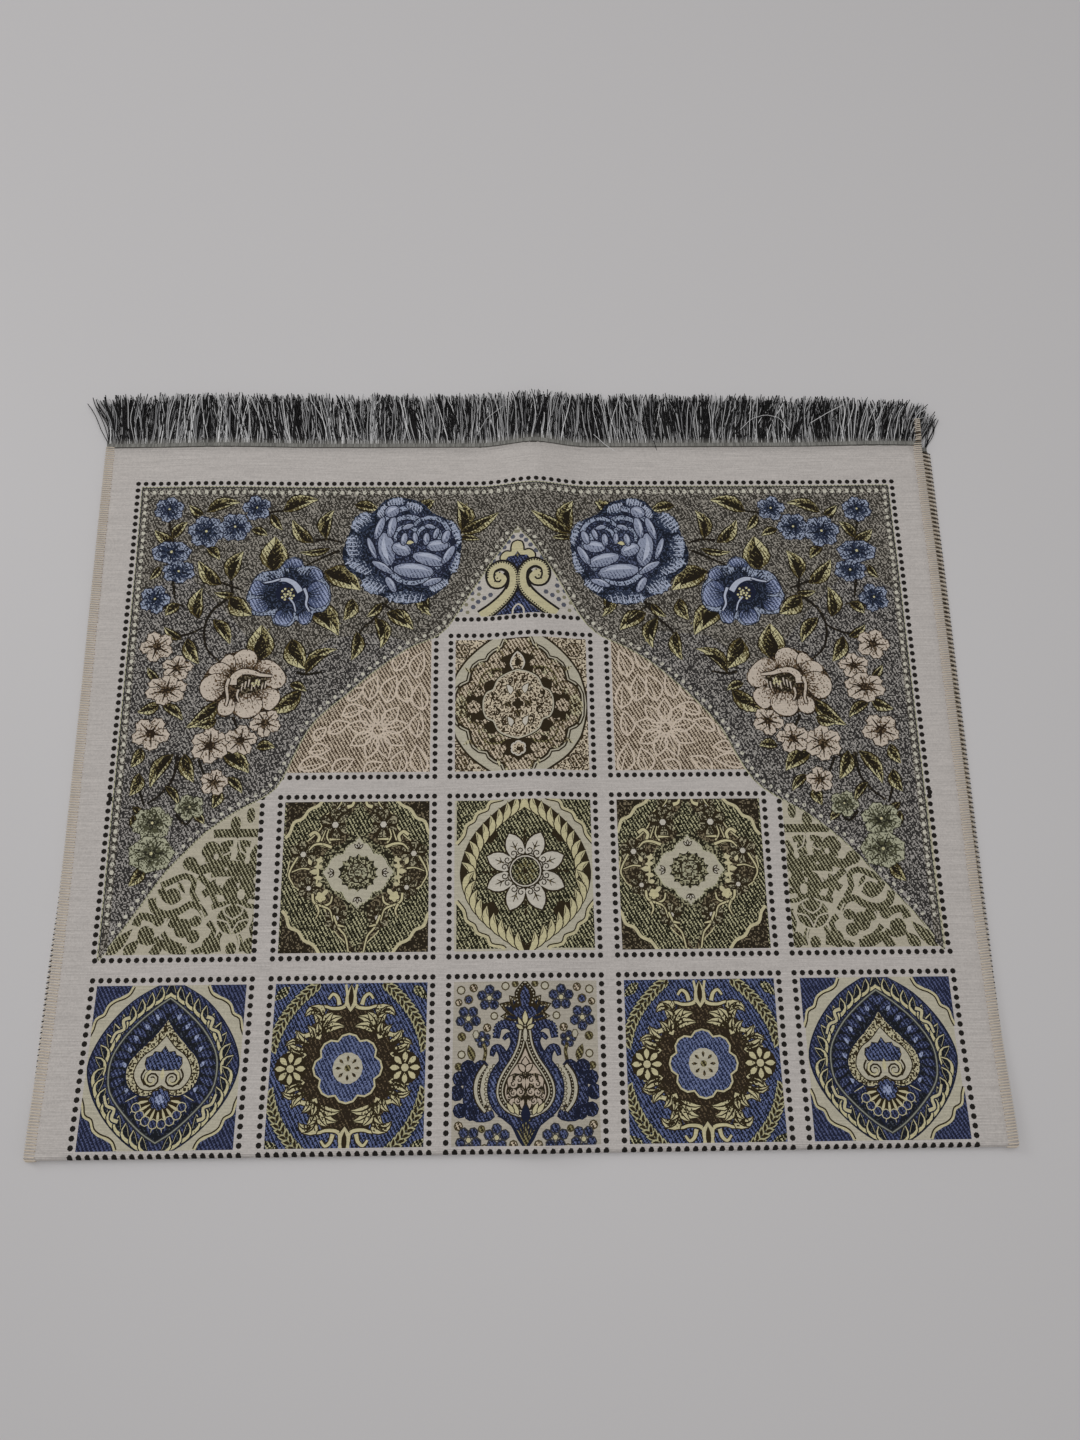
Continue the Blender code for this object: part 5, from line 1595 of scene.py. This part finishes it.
section = np.array(STITCH_SECTION)
path = np.stack([section[:, 0] * STITCH_DEPTH, section[:, 2] * STITCH_PITCH, section[:, 1] * THICKNESS], -1)
stitch_points, stitch_faces = tube(path, THREAD_RADIUS, 4)
stitch = mesh_object("stitch", stitch_points, faces=stitch_faces)
mark(stitch, "on_back", stitch_points[:, 2] < -0.1 * THICKNESS)
mark(stitch, "needle", stitch_points[:, 0] > 0.96 * STITCH_DEPTH)

thread_finish = Finish("overlock_thread", roughness=0.8, Specular_IOR_Level=0.2)
turn_of, back_of, needle_of, loose_of = (
    thread_finish.attribute(name) for name in ("stitch_tone", "on_back", "needle", "loose")
)
fresh = thread_finish.mix(turn_of, dyed(188, 180, 167), dyed(184, 172, 156))
# Where the thread goes into the cloth at each needle hole, it is painted darker: painted shade in the holes.
shaded_at_holes = thread_finish.mix(needle_of * (turn_of > 0.5), fresh, dyed(132, 112, 94))
frayed = thread_finish.mix(loose_of * (turn_of > 0.78), shaded_at_holes, dyed(84, 70, 54))
under = thread_finish.mix(turn_of > 0.5, dyed(26, 24, 23), dyed(196, 188, 176))
thread_finish.drive("Base Color", thread_finish.mix(back_of > 0.5, frayed, under))

for side, side_name, tail in ((-1, "left", 0), (1, "right", 24)):
    turns = np.concatenate([np.arange(LOWER_END + 1, -4, 8), FOLD_STEPS, np.arange(8, UPPER_END, 8)])
    beyond = np.linspace(0, tail, 1 + tail // 4)
    slack = side * np.interp(turns, (-560, -150, -40), (1.6, 1.6, 0.0))
    rail_places = side * HALF_WIDTH + slack + 1j * turns
    rail_places = np.append(rail_places, side * (HALF_WIDTH + 0.04 * beyond) + 1j * (UPPER_END + beyond))
    middle = middle_surface(rail_places)
    middle[len(turns):, 2] += np.minimum(beyond, 8) * 0.0002
    rail = thread_line(f"overlock_{side_name}", middle)
    mark(rail, "face_way", outward(rail_places), "FLOAT_VECTOR", "vector")
    mark(rail, "loose", rail_places.imag > UPPER_END)

    maker = Maker("overlock_stitches", Pitch=STITCH_PITCH, Thread=stitch)
    curve = maker.node("GeometryNodeMeshToCurve", None, {"Mesh": maker.start})
    spaced = maker.node("GeometryNodeResampleCurve", {"mode": "LENGTH"},
                        {"Curve": curve, "Length": maker.size["Pitch"]})
    counted = maker.store(spaced, "stitch", maker.node("GeometryNodeInputIndex"), "INT")
    tangent = maker.node("GeometryNodeInputTangent")
    faced = maker.node("FunctionNodeAxesToRotation", {"primary_axis": "Y", "secondary_axis": "Z"},
                       {"Primary Axis": tangent, "Secondary Axis": maker.named("face_way", "FLOAT_VECTOR")})
    thread = maker.node("GeometryNodeObjectInfo", None, {"Object": maker.size["Thread"]}, output="Geometry")
    wide = (1.0 - maker.named("loose") * 0.35) * maker.chance(0.95, 1.03, "stitch", 1)
    reach = maker.vector(wide * -side, 1.0, 1.0)
    stitches = maker.node("GeometryNodeInstanceOnPoints", None,
                          {"Points": counted, "Instance": thread, "Rotation": faced, "Scale": reach})
    in_turn = (maker.named("stitch", "INT") * 0.5).fract()
    toned = maker.store(stitches, "stitch_tone", in_turn + maker.chance(0.0, 0.5, "stitch", 2),
                        domain="INSTANCE")
    whole = maker.node("GeometryNodeRealizeInstances", None, {"Geometry": toned})
    x, y, z = maker.axes(maker.node("GeometryNodeInputPosition"))
    overlock = maker.make(maker.moved(whole, x, y, z.most(ON_FLOOR)), thread_finish.material, rail)
    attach(overlock, "root")
bpy.data.objects.remove(stitch)


# ---------------------------------------------------------------- Fringes
# At each cut end the warp yarns, black and pale grey, come out of a close grey heading and lie loose,
# two fingers long. They lean in tufts and cross, and fan out at the corners. The upper fringe lies on
# the lower one.
HEADING_DEPTH = 0.0048
HEADING_PROFILE_MM = (
    # beyond the cut end, above the cloth's middle
    (-0.3, 0.75), (0.2, 0.85), (2.2, 0.6), (4.6, 0.25), (4.8, -0.25), (0.0, -0.75),
)
HEADING_COLUMNS = 171
HEADING_YARN_MM = 0.75
STRAND_LENGTH = 0.0475
# Across the cloth, and how far the yarns' tips lean to the right there, or how long they are.
UPPER_LEAN_MM = (
    (-344, -18), (-336, -14), (-326, -8), (-312, -2), (-290, 4), (-270, -1), (-250, -3), (-215, -7),
    (-150, -7), (-120, -3), (-90, -6), (-50, -3), (0, 1), (30, 3), (60, -6), (90, -3), (130, -1), (160, 2),
    (170, 9), (200, 5), (235, 9), (260, 4), (300, 9), (318, 12), (330, 12), (338, 10),
)
LOWER_LEAN_MM = ((-335, -20), (-320, -8), (-200, 2), (0, -2), (200, 2), (325, 3), (344, 6))
LENGTH_SHARES = (
    (-344, 0.93), (-330, 0.97), (0, 0.97), (200, 0.94), (260, 0.89), (318, 0.84), (331, 0.78), (339, 0.58),
)
RIDGE_SHARE_AT_TIPS = 0.6
BLACK_SHARE = 0.66
TUFTS, BOWS_PER_TUFT = 86.0, 23.0
TUFT_SWAY, STRAND_SWAY, CURL, BOW = 0.03, 0.0045, 0.002, 0.0024

yarn_finish = Finish("fringe_yarn", roughness=0.7, Specular_IOR_Level=0.25)
tone = yarn_finish.attribute("strand_tone")
out_from_root = yarn_finish.attribute("from_root")
pale = yarn_finish.mix(tone * 2.9 - 1.9, dyed(96, 96, 98), dyed(230, 228, 226))
yarns = yarn_finish.mix(tone > BLACK_SHARE, dyed(20, 19, 20), pale)
at_root = yarn_finish.mix(tone, dyed(62, 61, 58), dyed(150, 148, 142))
yarn_finish.drive("Base Color", yarn_finish.mix((out_from_root * 5.0).least(1.0), at_root, yarns))

heading_finish = Finish("fringe_heading", roughness=0.8, Specular_IOR_Level=0.2)
u, v, _ = heading_finish.axes(heading_finish.node("ShaderNodeUVMap", {"uv_map": "heading_mm"}))
each = heading_finish.vector((u / HEADING_YARN_MM).floor(), 0.0)
chance = heading_finish.node("ShaderNodeTexWhiteNoise", {"noise_dimensions": "2D"}, {"Vector": each})
rounded = (u * (2 * math.pi / HEADING_YARN_MM)).sine()
# Each heading yarn has its own random tone. On top of that, the colour follows the yarn's rounded profile,
# lighter on the crest and darker between yarns: painted shade.
close_yarns_and_shade = heading_finish.mix(chance * 0.6 + rounded * 0.25 + 0.2, dyed(84, 83, 79), dyed(150, 149, 144))
# Within 0.9 mm of the cloth's cut end the heading is painted dark: a painted shadow of the cloth's edge lying
# over it.
heading_finish.drive("Base Color", heading_finish.mix(v < 0.9, close_yarns_and_shade, dyed(60, 58, 53)))
heading_finish.bump(rounded, 0.0002)

for label, end, count, radius, lean_table, base, top in (
    ("upper", UPPER_END, 2300, 0.00042, UPPER_LEAN_MM, 0.0014, 0.0042),
    ("lower", LOWER_END, 2000, 0.00034, LOWER_LEAN_MM, 0.0003, 0.0015),
):
    root_across = np.linspace(-HALF_WIDTH + 0.5, HALF_WIDTH - 0.5, HEADING_COLUMNS)
    roots = middle_surface(root_across + 1j * end)
    band_rows = [roots + np.array([0.0, depth * MM, height * MM]) for depth, height in HEADING_PROFILE_MM]
    index = np.arange(len(band_rows) * HEADING_COLUMNS).reshape(-1, HEADING_COLUMNS)
    band_faces = np.stack([index[:-1, :-1], index[:-1, 1:], index[1:, 1:], index[1:, :-1]], -1).reshape(-1, 4)
    band = mesh_object(f"heading_{label}", np.concatenate(band_rows), faces=band_faces.tolist())
    row, column = np.divmod(corner_points(band), HEADING_COLUMNS)
    band_map = band.data.uv_layers.new(name="heading_mm")
    band_places = np.stack([root_across[column], np.array(HEADING_PROFILE_MM)[row, 0]], -1)
    band_map.data.foreach_set("uv", band_places.ravel())
    band.data.materials.append(heading_finish.material)
    band.data.shade_smooth()
    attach(band, "root")

    root_line = thread_line(f"fringe_{label}_yarns", roots)
    lean = MM * np.interp(roots[:, 0] / MM, *zip(*lean_table))
    rise = RIDGE_SHARE_AT_TIPS * lift(roots[:, 0], roots[:, 1]) if label == "upper" else 0 * lean
    mark(root_line, "lean", lean)
    mark(root_line, "rise", rise)
    mark(root_line, "long", np.interp(roots[:, 0] / MM, *zip(*LENGTH_SHARES)))

    maker = Maker(f"fringe_{label}", Strands=count, Length=STRAND_LENGTH, Radius=radius, Base=base, Top=top)
    curve = maker.node("GeometryNodeMeshToCurve", None, {"Mesh": maker.start})
    spaced = maker.node("GeometryNodeResampleCurve", {"mode": "COUNT"},
                        {"Curve": curve, "Count": maker.size["Strands"]})
    counted = maker.store(spaced, "strand", maker.node("GeometryNodeInputIndex"), "INT")
    x, y, z = maker.axes(maker.node("GeometryNodeInputPosition"))
    rooted = maker.store(counted, "root_z", z)
    straight = maker.node("GeometryNodeCurvePrimitiveLine", None, {"End": (0, 1, 0)})
    parted = maker.node("GeometryNodeResampleCurve", {"mode": "COUNT"}, {"Curve": straight, "Count": 8})
    strands = maker.node("GeometryNodeInstanceOnPoints", None, {"Points": rooted, "Instance": parted})
    loose = maker.node("GeometryNodeRealizeInstances", None, {"Geometry": strands})
    share = maker.node("GeometryNodeSplineParameter", output="Factor")
    marked = maker.store(loose, "from_root", share)
    marked = maker.store(marked, "strand_tone", maker.chance(0.0, 1.0, "strand", 1))
    free = ((share - 0.12) / 0.88).most(0.0)
    place_in_row = maker.named("strand", "INT") * (TUFTS / count)
    tuft = maker.node("ShaderNodeTexNoise", {"noise_dimensions": "1D"},
                      {"W": place_in_row, "Scale": 1.0, "Detail": 1.0})
    sway = maker.chance(-1.0, 1.0, "strand", 2) * STRAND_SWAY + (tuft - 0.5) * TUFT_SWAY + maker.named("lean")
    curl = (free * maker.chance(2.0, 6.0, "strand", 3) + maker.chance(0.0, 6.28, "strand", 4)).sine()
    bow = (tuft * BOWS_PER_TUFT).sine() * BOW * (free * math.pi).sine()
    new_x = x + sway * free ** 1.2 + curl * CURL * free + bow
    reach = maker.size["Length"] * maker.chance(0.84, 1.06, "strand", 5) * maker.named("long")
    upright = (1.0 - (sway / reach) ** 2.0 * 0.75).most(0.1) ** 0.5
    new_y = y - share + share * (reach * upright + HEADING_DEPTH)
    level = maker.chance(0.0, 1.0, "strand", 6)
    rest_z = maker.size["Base"] + (maker.size["Top"] - maker.size["Base"]) * level
    tip_z = rest_z + maker.named("rise")
    new_z = maker.named("root_z") + (tip_z - maker.named("root_z")) * free.least(0.6) / 0.6
    bent = maker.moved(marked, new_x, new_y, new_z)
    taper = 1.0 - 0.5 * free ** 4.0
    sized = maker.node("GeometryNodeSetCurveRadius", None, {"Curve": bent, "Radius": taper})
    profile = maker.node("GeometryNodeCurvePrimitiveCircle", None,
                         {"Resolution": 3, "Radius": maker.size["Radius"]})
    spun_yarn = maker.node("GeometryNodeCurveToMesh", None,
                           {"Curve": sized, "Profile Curve": profile, "Fill Caps": True})
    fringe = maker.make(spun_yarn, yarn_finish.material, root_line)
    fringe.data.shade_smooth()
    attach(fringe, "root")
    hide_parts(f"fringe_{label}")

# A few loose ends of yarn lie over the fringe and the cloth's edge, and frayed thread hangs from the
# right corner.
stray_points, stray_faces, stray_tones = [], [], []
for tone_of_end, radius, *way_mm in (
    (0.95, 0.26, (62, 562, 5.0), (70, 553, 5.2), (84, 543, 3.4), (96, 538, 3.0), (104, 536, 2.9)),
    (0.20, 0.28, (96, 576, 5.6), (108, 566, 5.8), (113, 553, 5.0), (116, 542, 3.2)),
    (0.90, 0.24, (186, 566, 5.2), (196, 576, 5.8), (208, 580, 6.0), (220, 577, 5.8), (228, 565, 5.2)),
    (0.98, 0.24, (246, 572, 5.6), (262, 582, 6.0), (276, 590, 5.6)),
    (0.85, 0.24, (-36, 560, 7.2), (-28, 576, 7.6), (-14, 588, 7.4)),
    (0.92, 0.26, (334, 574, 5.4), (340, 582, 5.6), (347, 586, 4.6)),
    (0.80, 0.26, (333, 573, 5.0), (342, 577, 5.2), (352, 580, 3.8)),
    (0.30, 0.26, (335, 568, 4.6), (343, 572, 4.6), (351, 572, 3.2)),
    (0.88, 0.26, (330, 575, 5.6), (336, 586, 5.8), (341, 592, 5.0)),
):
    bends = np.array(way_mm) * MM
    steps = np.linspace(0, 1, 12)
    knots = np.linspace(0, 1, len(bends))
    path = np.stack([np.interp(steps, knots, bends[:, 0]), FRONT_Y + np.interp(steps, knots, bends[:, 1]),
                     np.interp(steps, knots, bends[:, 2])], -1)
    points, faces = tube(path, radius * MM, 4)
    stray_faces += [tuple(corner + sum(map(len, stray_points)) for corner in face) for face in faces]
    stray_points.append(points)
    stray_tones += [tone_of_end] * len(points)
strays = mesh_object("stray_yarns", np.concatenate(stray_points), faces=stray_faces)
mark(strays, "strand_tone", stray_tones)
mark(strays, "from_root", np.ones(len(stray_tones)))
strays.data.materials.append(yarn_finish.material)
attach(strays, "root")
